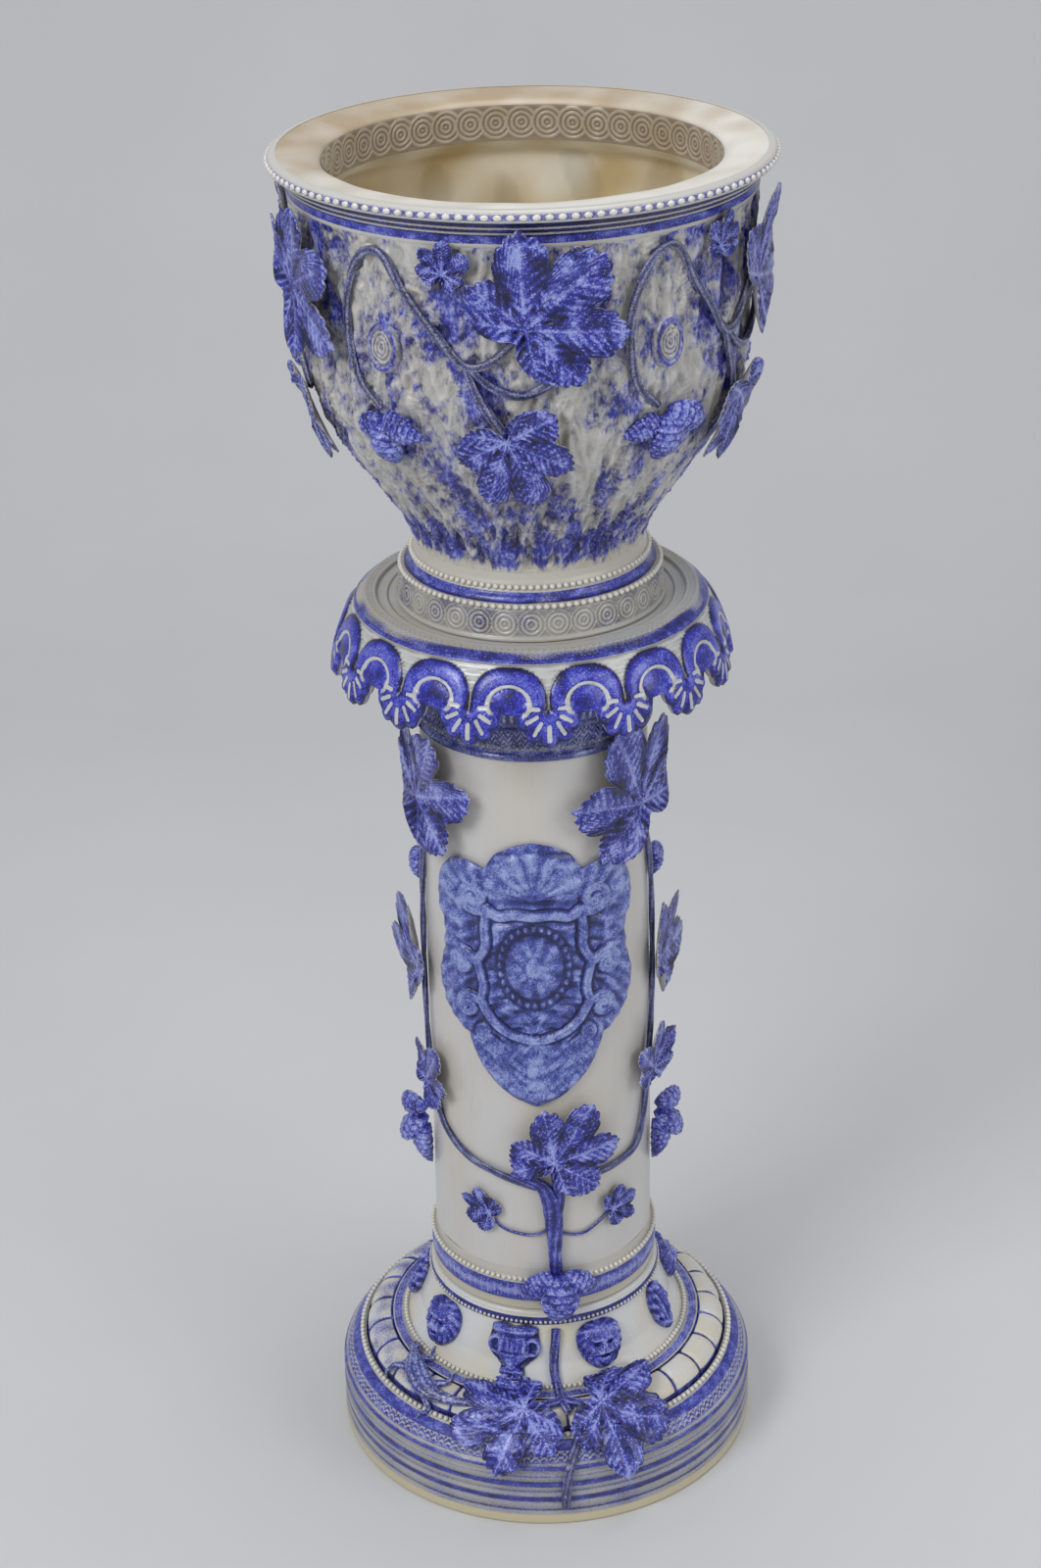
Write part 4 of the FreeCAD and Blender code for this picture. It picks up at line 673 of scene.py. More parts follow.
LEAF_TURN = [0, 3, 8, 13, 17, 20, 22.5, 25, 28, 32, 37, 41, 44, 47, 52, 58, 63, 66, 69, 72, 77, 84,
             89, 92, 96, 103, 113, 126, 140, 155, 168, 180]
LEAF_REACH = [1.0, 0.955, 0.92, 0.87, 0.81, 0.74, 0.6, 0.69, 0.76, 0.8, 0.83, 0.86, 0.9, 0.86,
              0.82, 0.76, 0.7, 0.63, 0.53, 0.57, 0.6, 0.62, 0.64, 0.67, 0.64, 0.61, 0.56, 0.49,
              0.4, 0.28, 0.16, 0.12]
LEAF_VEINS = np.array([-128, -92, -44, 0, 44, 92, 128])
LEAF_SPOKES = 192
SEAT_GAP, VINE_PROUD, ON_VINE = 0.45, 5.0, 5.6


def vine_leaf(wall, angle, along, length, heading, lift=0.0, curl=0.2, fold=0.0, seed=1,
              rest=SEAT_GAP):
    """Lobed leaf: radius reach(a) along 192 spokes from its hub, its blade raised by
    0.35 curl length t^2 + |fold| x^2 towards the edge (t from hub to edge, x the share of the
    length on fold's side), with main veins exp(-d^2), chevrons of side veins and teeth."""
    spoke = np.linspace(-180, 180, LEAF_SPOKES, endpoint=False)
    draw = np.random.default_rng(seed)
    bent = spoke + 5 * np.sin(np.radians(spoke) * 2 + draw.uniform(0, 6))
    reach = np.interp(np.abs(bent), LEAF_TURN, LEAF_REACH)
    reach = reach * (1 + 0.05 * np.sin(np.radians(spoke) * 3 + draw.uniform(0, 6)))
    tooth = np.abs(np.sin(np.pi * (spoke / 7.5 + 0.25)))
    reach = np.minimum(reach * (1 + 0.05 * tooth * soft(reach, 0.25, 0.45) - 0.03), 1.0)
    front = np.concatenate([np.linspace(0.05, 0.95, 18), [1.0]])
    back = np.array([0.99, 0.75, 0.4, 0.05])
    share = np.concatenate([front, back])[:, None]
    is_front = np.arange(len(share))[:, None] < len(front)
    away = share * reach * length
    way = np.radians(heading + spoke)
    x, y = away * np.cos(way), away * np.sin(way)
    gap = bent[:, None] - LEAF_VEINS
    nearest = np.abs(gap).argmin(1)
    offset = np.radians(gap[np.arange(LEAF_SPOKES), nearest])
    run, side = away * np.cos(offset), np.abs(away * np.sin(offset))
    width = length / 66
    main = np.exp(-(side / (1.3 * width)) ** 2)
    chevron = (0.5 + 0.5 * np.cos(2 * np.pi * (run - 0.8 * side) / (5.6 * width))) ** 2
    chevron = chevron * soft(side, 0.5 * width, 2.4 * width)
    seam = np.exp(-((np.abs(offset) - np.radians(22.5)) / 0.1) ** 2) * soft(share, 0.1, 0.3)
    outward = np.maximum(0, x * math.copysign(1, fold)) / length
    wave = 2.2 * np.sin(np.radians(spoke) * 4 + draw.uniform(0, 6)) * share ** 3
    lay = rest + lift + curl * length * 0.35 * share ** 2 + abs(fold) * outward ** 2 + np.maximum(
        wave, -lift * 0.5)
    pillow = np.sin(np.minimum(side / (11 * width), 1) * np.pi * 0.8)
    relief = (1.1 * main + 0.9 * chevron - 1.8 * seam + 1.3 * pillow) * soft(-share, -1.02, -0.9)
    thick = 3.0 * (1 - 0.5 * share)
    proud = np.where(is_front, lay + thick + relief, lay)
    points = on_wall(wall, angle, along, x, y, proud)
    raised = np.clip(chevron + main, 0, 1)
    blotch = noise(x, y, 0 * x, 16 * width, seed + 50)
    cobalt = 0.98 - 0.2 * raised - 0.2 * soft(share, 0.95, 1.0)
    # hollow: painted shade in the seams between the lobes and over the blade, painted highlight on
    # the raised veins, plus blotches of tone at random
    hollow = 0.55 * seam + 0.42 - 1.05 * raised + 0.24 * blotch
    return closed_skin(points, cobalt=np.where(is_front, cobalt, 0.08), warm=0.45 * ~is_front,
                       hollow=np.where(is_front, hollow, 0.1))


def hop_cone(wall, angle, height, heading, lift=0.0, scale=1.0, tilt=0.0):
    """Hop cone: an egg on its side along its heading, with eight rows of overlapping bracts:
    radius(s, a) = girth(s) (1 + 0.22 (1 - (2u)^2) (v - 0.15)) in each bract's own u and v;
    tilt is how steeply it leans away from the wall."""
    length, width = 38 * scale, 22.5 * scale
    start = length_at(wall, height)
    way = math.radians(heading)
    along = np.linspace(0.0, 1.0, 42)[:, None]
    around = np.linspace(0, 2 * np.pi, 40, endpoint=False)[None, :]
    girth = np.interp(along, [0, 0.05, 0.2, 0.45, 0.7, 0.9, 1],
                      [0.16, 0.55, 0.9, 1.0, 0.78, 0.42, 0.1])
    row = along * 8.5
    u = ((around / (2 * np.pi) * 8 + 0.5 * (np.floor(row) % 2)) % 1) - 0.5
    v = row % 1
    bract = (1 - (2 * u) ** 2) * (v - 0.15)
    swell = girth * (1 + 0.22 * bract)
    across = length * along * math.cos(way) + width / 2 * swell * np.cos(around) * math.sin(way)
    upward = length * along * math.sin(way) - width / 2 * swell * np.cos(around) * math.cos(way)
    tall = width * 0.7
    proud = (SEAT_GAP + lift + tilt * length * along + tall * girth / 2
             + tall * swell / 2 * np.sin(around))
    points = on_wall(wall, angle, start, across, upward, proud)
    shade = soft(-bract, -0.35, 0.1)
    return closed_skin(points, cobalt=0.72 + 0.3 * shade, hollow=0.7 * shade - 0.4)


def strand(wall, stations, grooves=4, twist=0.1, cobalt=0.55, sides=16, rib=0.15):
    """Stem along stations of (angle, along, under, half width, height): a smooth curve through
    them, whose round section is grooved like bundled fibres that wind slowly about it."""
    marks = np.array(stations, float)
    first, last = 2 * marks[0] - marks[1], 2 * marks[-1] - marks[-2]
    p = np.vstack([[first], marks, [last]])
    smooth = []
    for index in range(len(marks) - 1):
        a, b, c, d = p[index:index + 4]
        for share in np.linspace(0, 1, 9)[:-1]:
            smooth.append(0.5 * (2 * b + (c - a) * share + (2 * a - 5 * b + 4 * c - d) * share ** 2
                                 + (3 * b - a - 3 * c + d) * share ** 3))
    smooth = np.array(smooth + [marks[-1]])
    radius = wall_spot(wall, smooth[:, 1])[:, 0]
    run = np.gradient(np.stack([np.radians(smooth[:, 0]) * radius, smooth[:, 1]], 1), axis=0)
    step = np.hypot(run[:, 0], run[:, 1])
    way = run / step[:, None]
    around = np.linspace(0, 2 * np.pi, sides, endpoint=False)[None, :] - np.pi / 2
    gone = np.cumsum(step)[:, None]
    fibre = np.cos(grooves * around + twist * gone)
    half, tall, under = smooth[:, 3:4], smooth[:, 4:5], smooth[:, 2:3]
    swell = 1 + rib * fibre
    reach = half * np.cos(around) * swell
    across, upward = way[:, 1:] * reach, -way[:, :1] * reach
    proud = under + tall / 2 * (1 + np.sin(around) * swell)
    points = on_wall(wall, smooth[:, :1], smooth[:, 1:2], across, upward, proud)
    # hollow: painted shade in the grooves between the fibres, painted highlight on their crowns
    return closed_skin(points, cobalt=cobalt - 0.1 * fibre, hollow=-0.35 * fibre + 0.2,
                       warm=0.2 + 0 * fibre)


def stem(wall, route, lift=0.0, cobalt=0.5):
    """A vine 7 mm wide and 5 mm proud through a route of (angle, height); its first end tapers."""
    rows = [(angle, length_at(wall, height), SEAT_GAP + lift, 3.4, VINE_PROUD * 0.96)
            for angle, height in route]
    rows[0] = rows[0][:3] + (2.6, 4.0)
    return strand(wall, rows, cobalt=cobalt)


leaf_glaze = stoneware("cobalt_glazed_leaf_salt_speckled", glaze="b9bed2", cobalt="2e33a6",
                       deep="13165a", pale="8f99de", grain_mm=1.9, spread=0.6, flecks=0.75,
                       rough=0.27, pits=0.8)
vine_glaze = stoneware("blue_grey_fibrous_stem", glaze="a9abb0", clay="a39d8c", cobalt="4c5190",
                       deep="2a2d52", pale="7e84ab", grain_mm=1.4, spread=0.6, flecks=0.3,
                       pits=0.6)

# Five bays round the bowl: a looping stem round each knot, an upper and a lower leaf, a small
# leaf under the rim and three hop cones below the knot.
bowl_wall = make_wall(BOWL_CORNERS, POT_SEAT)


def on_bowl(share):
    """Height in mm at a share of the bark's height, from 0 at the waist to 1 under the lip."""
    return 893 + 305 * share


def bowl_length(share):
    """Length along the bowl's wall at a share of the bark's height."""
    return length_at(bowl_wall, on_bowl(share))


small_leaves = []
for bay, (heading, shift) in enumerate([(45, 0), (30, -2), (62, 3), (40, -3), (20, 2)]):
    knot, tag = -36 + 72 * bay, bay + 1
    leaf = knot + 36 + shift / 2
    loop = [(knot - 2, 0.55), (knot - 9, 0.63), (knot - 11, 0.78), (knot - 8, 0.9),
            (knot - 3, 0.965), (knot + 2, 0.96), (knot + 7, 0.87), (knot + 14, 0.78),
            (knot + 21, 0.695), (knot + 28, 0.71), (leaf, 0.8)]
    spray = [(knot + 21, 0.695), (knot + 25, 0.6), (leaf - 5, 0.505)]
    droop = [(knot + 22, 0.69), (knot + 28, 0.64), (knot + 35, 0.62), (knot + 42, 0.65),
             (knot + 50, 0.7)]
    skin_piece("pot_vine_%d_stem" % tag, [
        stem(bowl_wall, [(angle, on_bowl(share)) for angle, share in route], cobalt=blue)
        for route, blue in ((loop, 0.64), (spray, 0.64), (droop, 0.72))], vine_glaze, "pot",
               "vines", "pot_vine_%d" % tag)
    skin_piece("pot_upper_leaf_%d_blade" % tag, [vine_leaf(
        bowl_wall, leaf, bowl_length(0.8), 86, heading, ON_VINE, 0.28,
        seed=bay + 1)], leaf_glaze, "pot", "leaves", "pot_upper_leaf_%d" % tag)
    skin_piece("pot_lower_leaf_%d_blade" % tag, [vine_leaf(
        bowl_wall, leaf - 5, bowl_length(0.505), 62, heading - 110, ON_VINE,
        0.34, seed=bay + 11)], leaf_glaze, "pot", "leaves", "pot_lower_leaf_%d" % tag)
    small_leaves.append(vine_leaf(bowl_wall, leaf - 19, bowl_length(0.93),
                                  30, 80, 0, 0.4, seed=bay + 21))
    skin_piece("pot_hops_%d_cones" % tag, [
        hop_cone(bowl_wall, knot, on_bowl(0.53), 266, 3.5, 1.1),
        hop_cone(bowl_wall, knot - 2, on_bowl(0.525), 210, 0, 0.85),
        hop_cone(bowl_wall, knot, on_bowl(0.545), 338, 4.5, 0.95, 0.15)],
        leaf_glaze, "pot", "hop_cones", "pot_hops_%d" % tag)
skin_piece("pot_small_leaf_blades", small_leaves, leaf_glaze, "pot", "leaves", "pot_small_leaves")

# ---------------------------------------------------------------- capital: plate with a recess
# Turned plate: bare cream-grey recess with one low step, and a raised rim stamped with small
# rings that turns blue towards its edge.  z 834 to 851 mm.
PLATE_SEAT = 834
plate_under = turned_line([(88, 0), (143, 0), (143, 8), (149, 8.1)], 4.0, PLATE_SEAT)
plate = turned_line([(149, 8.1), (151.6, 8.2), (151, 10), (143, 16.8), (141, 17), (133.4, 17),
                     (132.4, 16.4)], 0.9, PLATE_SEAT, 1)
recess = turned_line([(132.4, 16.4), (131.4, 15.2), (131, 13.6), (122.2, 13.5), (121.8, 12.1),
                      (100, 12.0)], 1.2, PLATE_SEAT)


def plate_rise(angle, arc, radius, height):
    """Ring stamps 0.45 mm proud, 150 round the rim between radius 135 and 148 mm."""
    zone = window(radius, 133.5, 135, 148, 150) * soft(height, 845, 846)
    stamps = ring_stamp(angle * 143, (radius - 139) * 1.1, 2 * np.pi * 143 / 150, 4.6, 2.7)
    return 0.45 * zone * stamps


def plate_colour(angle, arc, radius, height, proud):
    """Cobalt grows from radius 138 to 147 mm to 0.75 plus 0.2 noise, with 0.6 at the very
    edge; hollow 0.5 where the stamps sink, 0.55 and 0.3 at the two steps of the recess, all
    painted shade."""
    x, y = plan(angle, radius)
    top = soft(height, 842.6, 844)
    edge = soft(radius, 138, 147) * top
    return {"cobalt": np.clip(edge * (0.75 + 0.2 * noise(x, y, 0 * x, 50, 61)) + 0.6 * top
                              * soft(radius, 148, 149.5), 0, 1),
            "warm": 0.2 + 0.1 * noise(x, y, 0 * x, 60, 62),
            "hollow": soft(-proud, 0.0, 0.5) * 0.5 + 0.55 * soft(-radius, -132.6, -131.2)
            * soft(radius, 130.8, 131.2) + 0.3 * soft(-np.abs(radius - 122), -1.2, 0)}


turned_piece("capital_plate_rim", plate, 900, stamped, "column", "capital_plate", plate_rise,
             plate_colour, ("capital_plate",))
turned_piece("capital_plate_recess", recess, 240, stamped, "column", "capital_plate", None,
             plate_colour)
# The underside's hollow of 0.2 is a little painted shade under the plate.
turned_piece("capital_plate_under", plate_under, 128, toasted, "column", "capital_plate", None,
             lambda a, s, r, h, p: {"warm": 0.4, "hollow": 0.2 + 0.05 * np.cos(3 * a)})


# ---------------------------------------------------------------- capital: scalloped apron
# Sixteen moulded repeats: a horseshoe arch of thick cobalt with a white inner crescent, small
# scrolls at its feet, five-lobed drops between the arches, white ribbed spandrels above.
def stroke(x, y, path, half, height):
    """Rounded ridge along a path of points: height sqrt(1 - (d / half)^2) at distance d."""
    best = np.full(x.shape, 1e9)
    for (ax, ay), (bx, by) in zip(path, path[1:]):
        ux, uy = bx - ax, by - ay
        share = np.clip(((x - ax) * ux + (y - ay) * uy) / (ux * ux + uy * uy), 0, 1)
        best = np.minimum(best, np.hypot(x - ax - ux * share, y - ay - uy * share))
    return height * np.sqrt(np.clip(1 - (best / half) ** 2, 0, 1)), best


APRON_TOP, APRON_COLUMNS, APRON_ROWS, APRON_REPEATS, APRON_RADIUS = 842, 62, 58, 16, 170.5
half_pitch = APRON_RADIUS * math.sin(math.pi / APRON_REPEATS)
column_x = (np.arange(APRON_COLUMNS) / APRON_COLUMNS * 2 - 1) * half_pitch
low_edge = np.interp(np.abs(column_x), [0, 6.6, 7.8, 9, 11.5, 13.2, 15.5, 18.5, 21.5, 24, 26.5,
                                        29.5, 33.3],
                     [-36.5, -37, -44, -47.4, -49, -51.5, -57.5, -60, -59.6, -58.6, -60.6, -63.2,
                      -64])
share = (np.arange(APRON_ROWS) / (APRON_ROWS - 1))[:, None]
ax = np.broadcast_to(column_x, (APRON_ROWS, APRON_COLUMNS))
az = low_edge * share
fold_x = np.abs(ax)
outer = (np.abs(ax / 32.2) ** 2.5 + np.abs((az + 27.5) / 26.4) ** 2.5) ** 0.4
inner = np.hypot(ax / 17.6, (az + 27.5) / 13.6)
above = soft(outer, 0.99, 1.03) * soft(az, -33, -31)
band = np.clip((1 - outer) / 0.18, 0, 1) * np.clip((inner - 1) / 0.3, 0, 1)
arch = np.where((outer < 1) & (inner > 1), 0.7 + 2.9 * np.sqrt(np.clip(band, 0, 1)), 0)
arch = arch * soft(az, -42, -36)
crescent = np.exp(-(np.abs(inner - 1.0) / 0.12) ** 2.5) * soft(az, -39, -34)
tongue = np.where(inner < 0.9, 0.4 + 1.8 * np.sqrt(np.clip(0.81 - inner ** 2, 0, 1)), 0)
tongue = tongue * soft(az, -40, -37)
lobes, slot_line = np.zeros_like(ax), np.full(ax.shape, 1e9)
for lean, size, wide in ((0, 33, 6.0), (31, 30, 6.4), (60, 26.5, 6.2), (93, 20, 5.2)):
    way = math.radians(lean)
    along = [(half_pitch - math.sin(way) * size * part, -31 - math.cos(way) * size * part)
             for part in (0.22, 0.8, 0.42, 0.78)]
    petal, _ = stroke(fold_x, az, along[:2], wide, 3.6)
    _, slot = stroke(fold_x, az, along[2:], 1.0, 1.0)
    lobes = np.maximum(lobes, petal)
    slot_line = np.minimum(slot_line, slot)
root = np.exp(-(np.hypot(fold_x - half_pitch, az + 31) / 3.2) ** 2)
rib = 0.5 * np.cos(2 * np.pi * az / 2.8) * above
rise = np.maximum.reduce([arch, lobes, tongue, 2.6 * crescent]) + rib
rise = rise - 1.5 * np.exp(-(slot_line / 1.5) ** 2) - 1.8 * root
rise = rise * (1 - 0.6 * soft(share, 0.9, 1.0)) * soft(-az, 0.5, 3)
white = np.maximum.reduce([above, crescent, np.exp(-(slot_line / 1.7) ** 4)
                           * soft(-root, -0.3, -0.1)])
worn = 0.096 * noise(ax, az, 0 * ax, 9, 66)
painted = np.clip(1.0 - 1.1 * white + worn, 0, 1)
crests = soft(rise, 2.4, 4.2) * (1 - white)
# deep is the apron's hollow: painted shade along the arch's outer edge, at the drops' roots, on
# the low ground, in the spandrels' grooves, beside the slots and right under the plate, and
# painted highlight on the crests, with a little noise
deep = (0.6 * bump(outer, 1.0, 0.05) * soft(az, -34, -30) + 0.9 * root
        + 0.5 * soft(-rise, -0.9, 0.1) * (1 - above) + 0.4 * soft(-rib, 0.15, 0.5)
        + 0.5 * soft(az, -1.8, -0.4) + 0.3 * bump(slot_line, 2.3, 0.7)
        - 0.4 * crests + 0.12 * noise(ax, az, 0 * ax, 14, 67) + 0.08)


def apron_radius(drop):
    """Radius of the apron's face at a drop below its top, its swell a parabola."""
    share = drop / 64
    return 151 + 19.5 * share + 5 * 4 * share * (1 - share) * 0.94


back_drop = np.concatenate([[1.0, 0.97], np.linspace(0.8, 0, 5)])[:, None] * -low_edge
face_radius = apron_radius(-az) + rise * 0.96
face_height = APRON_TOP + az - rise * 0.2
back_radius = apron_radius(back_drop) - np.array([5.2, 6.8] + [7] * 5)[:, None]
all_radius = np.concatenate([face_radius, back_radius])
all_height = np.concatenate([face_height, APRON_TOP - back_drop])
all_angle = (np.radians(4.3 - 11.25 + 22.5 * np.arange(APRON_REPEATS))[:, None]
             + column_x / APRON_RADIUS)
rows = len(all_radius)


def tile(values):
    """One repeat's values set side by side all the way round."""
    return np.tile(values, (1, APRON_REPEATS))


sweep = all_angle.reshape(1, -1)
apron_points = np.stack([tile(all_radius) * np.sin(sweep), -tile(all_radius) * np.cos(sweep),
                         tile(all_height)], -1) * MM
pale_back = np.zeros_like(back_drop)
apron_faces = grid_faces(rows, APRON_REPEATS * APRON_COLUMNS, True)[:, ::-1]
ribs_glaze = stoneware("thick_cobalt_over_moulded_scrolls", glaze="c6c8c8", cobalt="2a2cb2",
                       deep="13145a", pale="6a73d0", grain_mm=1.8, spread=0.35, flecks=0.5,
                       rough=0.24)
make_piece("capital_apron_moulded", apron_points, apron_faces, ribs_glaze, "column",
           "capital_apron", ("capital_apron",),
           cobalt=np.concatenate([tile(painted), tile(pale_back)]),
           warm=np.concatenate([tile(0 * painted), tile(pale_back + 0.55)]),
           hollow=np.concatenate([tile(np.clip(deep, -1, 1)), tile(pale_back + 0.1)]))

# ---------------------------------------------------------------- column: shaft and its bands
# Thrown tube, finely combed upwards; a light blue stamped band and beads at its foot, a glossy
# dark roll and three dark stamped bands at its neck.  z 173 to 834 mm.
COLUMN_SEAT = 173
combed = stoneware("combed_shaft_pale_glaze", glaze="cbc9c7", clay="c3bba6", grain_mm=1.3,
                   spread=0.4, streak=18, flecks=0.1, rough=0.3, pits=0.3)
foot_line = turned_line([(88, 0), (103, 0), (104, 1), (104, 9.5), (105.4, 11), (105.5, 29.5),
                         (104.8, 33), (102, 36), (101.3, 44)], 1.05, COLUMN_SEAT, 1)


def lozenge(along, across, pitch, tall):
    """Relief of a row of lozenges: 1 at their middles, 0 on the lines between them."""
    u = np.abs((along / pitch) % 1 - 0.5) * 2
    v = np.abs(across) / tall * 2
    return np.clip(1.15 - (1 - u) - v, 0, 1) + np.clip(0.9 - u - v * 0.6, 0, 1) * 0.6


def foot_band_rise(angle, arc, radius, height):
    """Lozenges 0.8 mm proud, 96 round the band, less 0.5 mm."""
    return 0.8 * lozenge(angle * 105, height - 193.5, 2 * np.pi * 105 / 96, 17) - 0.5


def foot_band_colour(angle, arc, radius, height, proud):
    """Cobalt 0.8 in the band, 0.38 on the lozenges, and a bell of 1 at both its lines;
    hollow -0.7 on the lozenges as painted highlight, up to 0.1 between them, and 0.6 beside the
    beads as painted shade."""
    band = window(height, 183.4, 184.4, 203, 204)
    lines = bump(height, 185.2, 0.9) + bump(height, 202, 0.9)
    return {"cobalt": np.clip(band * (0.8 - 0.42 * soft(proud, 0.0, 0.5) + lines), 0, 1),
            "warm": 0.25 + 0.3 * soft(-height, -184, -182),
            "hollow": band * (0.8 * soft(-proud, 0.0, 0.5) - 0.7) + 0.6 * bump(height, 206.8, 2.2)}


turned_piece("column_foot_band", foot_line, 768, stamped, "column", "column_body", foot_band_rise,
             foot_band_colour, ("column_shaft",))
shaft_line = turned_line([(101.3, 44), (99.5, 558.5)], 6.0, COLUMN_SEAT)


def shaft_rise(angle, arc, radius, height):
    """0.35 mm times noise drawn out three times upwards, less 0.35 mm."""
    x, y = plan(angle, radius)
    return 0.35 * noise(x, y, height / 3, 70, 71) - 0.35


def shaft_colour(angle, arc, radius, height, proud):
    """Cobalt 0.1 with stains of 0.12 where noise is over 0.6; warm 0.1 plus 0.22 noise."""
    x, y = plan(angle, radius)
    stain = noise(x, y, height / 3, 55, 72)
    return {"cobalt": 0.1 + 0.12 * soft(stain, 0.6, 2), "warm": 0.1 + 0.22 * noise(
        x, y, height / 4, 80, 73), "hollow": 0.12 * soft(noise(x, y, height, 30, 74), 0.8, 2)}


turned_piece("column_shaft_combed", shaft_line, 300, combed, "column", "column_body", shaft_rise,
             shaft_colour)
neck_line = turned_line([(99.5, 558.5), (102.6, 559.6), (104, 562.3), (102.6, 565), (100.2, 567),
                         (101.4, 570.6), (102.4, 588.6), (101, 590.4), (102.2, 592.6),
                         (104.2, 608.4), (104.8, 609.6)], 0.9, COLUMN_SEAT, 1)
flare_line = turned_line([(104.8, 609.6), (121.6, 660.6), (119, 660.9), (88, 660.9)], 3.0,
                         COLUMN_SEAT)


def neck_rise(angle, arc, radius, height):
    """Zigzag: 0.6 cos(2 pi (height / 5.5 + triangle wave of 88 round)); above it a check: 0.6
    times the clipped cosines of 104 angle and of height / 3.4; 0.4 mm less on the bands."""
    up = height - COLUMN_SEAT
    chevron = np.abs(angle * 88 / (2 * np.pi) % 1 - 0.5) * 4
    zig = np.cos(2 * np.pi * ((up - 578) / 5.5 + chevron * 0.5))
    files = np.clip(np.cos(angle * 104) * 1.6, -1, 1)
    square = files * np.clip(np.cos((up - 599) / 3.4) * 1.6, -1, 1)
    return (0.6 * zig * window(up, 574, 575.5, 587, 588)
            + 0.6 * square * window(up, 593, 594.5, 605, 606)) - 0.4 * soft(up, 573, 574)


def neck_colour(angle, arc, radius, height, proud):
    """Cobalt 1 from the roll upwards, 0.5 where the bands stand proud; hollow, painted shade, 0.5
    where they sink, and 0.3 above them under the flare, less 0.1."""
    up = height - COLUMN_SEAT
    bands = soft(up, 567, 568.5)
    worn = 1.0 - 0.5 * bands * soft(proud, -0.5, 0.2)
    return {"cobalt": np.clip(soft(up, 558.6, 559.6) * worn, 0, 1),
            "hollow": 0.5 * bands * soft(-proud, 0.2, 0.8) + 0.3 * soft(up, 606, 614) - 0.1}


neck_glaze = stoneware("dark_cobalt_neck_bands", cobalt="3a4190", deep="1d2250", pale="8790bd",
                       grain_mm=1.8, spread=0.35, flecks=0.4, rough=0.18)
turned_piece("column_neck_bands", neck_line, 704, neck_glaze, "column", "column_body", neck_rise,
             neck_colour)
# The flare's hollow of 0.2 is painted shade under the apron.
turned_piece("column_neck_flare", flare_line, 200, neck_glaze, "column", "column_body", None,
             lambda a, s, r, h, p: {"cobalt": 0.8 + 0.1 * np.cos(a * 16), "hollow": 0.2})
bore = turned_line([(88, 660.9), (88, 0)], 12.0, COLUMN_SEAT)


def bore_rise(angle, arc, radius, height):
    """Throwing rings that wind upwards: 0.4 cos(2 pi height / 30 + angle) mm."""
    return 0.4 * np.cos(2 * np.pi * height / 30 + angle)


# The bore's hollow of 0.2 is a little painted shade inside the column.
turned_piece("column_bore", bore, 96, toasted, "column", "column_body", bore_rise,
             even_tint(warm=0.5, hollow=0.2))
ball_rows("column_beads", [(104.3, 207.0, 120, 4.4, 4.6)], bead_clay, "column", "column_body",
          warm=0.2)
# The neck beads' hollow of 0.3 is painted shade under the apron.
ball_rows("column_neck_beads", [(101.6, 744.2, 132, 3.6, 3.4)], neck_glaze, "column",
          "column_body", cobalt=0.5, hollow=0.3)

# ---------------------------------------------------------------- column: climbing plant
# A trunk in front that forks into two stems round the sides, with leaves and hanging cones.
shaft_wall = make_wall([(101.5, 36), (99.5, 558)], COLUMN_SEAT)
band_wall = make_wall([(105.5, 0), (105.5, 33), (102.5, 44), (101.5, 112)], COLUMN_SEAT)
climb_glaze = stoneware("cobalt_glazed_climbing_stem", glaze="b9bccb", cobalt="3238a8",
                        deep="1a1b58", pale="8790cc", grain_mm=1.5, spread=0.5, flecks=0.55,
                        pits=0.6)


def on_shaft(share):
    """Height in mm at a share of the plain shaft's height, from the foot band to the neck."""
    return 209 + 522 * share


def shaft_length(share):
    """Length along the shaft's wall at a share of the plain shaft's height."""
    return length_at(shaft_wall, on_shaft(share))


def climbing(route):
    """A vine on the shaft through a route of (angle, share of the shaft's height)."""
    return stem(shaft_wall, [(angle, on_shaft(share)) for angle, share in route], cobalt=0.8)


def bough(route):
    """A thick stem, from 15 mm wide down to 7 mm, through a route of (angle, share, half)."""
    return strand(shaft_wall, [(angle, shaft_length(share), SEAT_GAP, half, half + 1.6)
                               for angle, share, half in route], grooves=6, cobalt=0.85, sides=22)


def tendril(route):
    """A thin stem, 3 mm wide, between small leaves and the trunk."""
    return strand(shaft_wall, [(angle, shaft_length(share), 0.3, 1.5, 2.4)
                               for angle, share in route], grooves=3, cobalt=0.7, sides=10)


skin_piece("trunk_stem", [
    bough([(6, 0.012, 5.0), (5.4, 0.05, 5.4), (5.2, 0.1, 6.6), (4.4, 0.15, 7.4), (0, 0.19, 5.6),
           (-8, 0.205, 4.2), (-16, 0.212, 3.2)]),
    bough([(5.6, 0.12, 4.6), (8, 0.165, 5.0), (7, 0.205, 4.2), (6, 0.245, 3.4)]),
    tendril([(4, 0.105), (-4, 0.09), (-14, 0.092), (-22, 0.1), (-28, 0.12)]),
    tendril([(5, 0.1), (12, 0.088), (20, 0.084), (28, 0.096), (36, 0.114)])],
    climb_glaze, "column", "vines", "trunk")
skin_piece("vine_left_stem", [climbing([
    (0, 0.185), (-12, 0.2), (-26, 0.213), (-38, 0.225), (-50, 0.245), (-61, 0.275), (-70, 0.325),
    (-78, 0.4), (-84, 0.5), (-83, 0.6), (-80, 0.7), (-76, 0.79), (-70, 0.885)])],
    vine_glaze, "column", "vines", "vine_left")
skin_piece("vine_right_stem", [climbing([
    (6.4, 0.185), (18, 0.2), (30, 0.204), (44, 0.208), (56, 0.222), (64, 0.27), (69, 0.345),
    (76, 0.42), (83, 0.52), (82, 0.62), (78, 0.72), (70, 0.8), (57, 0.885)])],
    vine_glaze, "column", "vines", "vine_right")
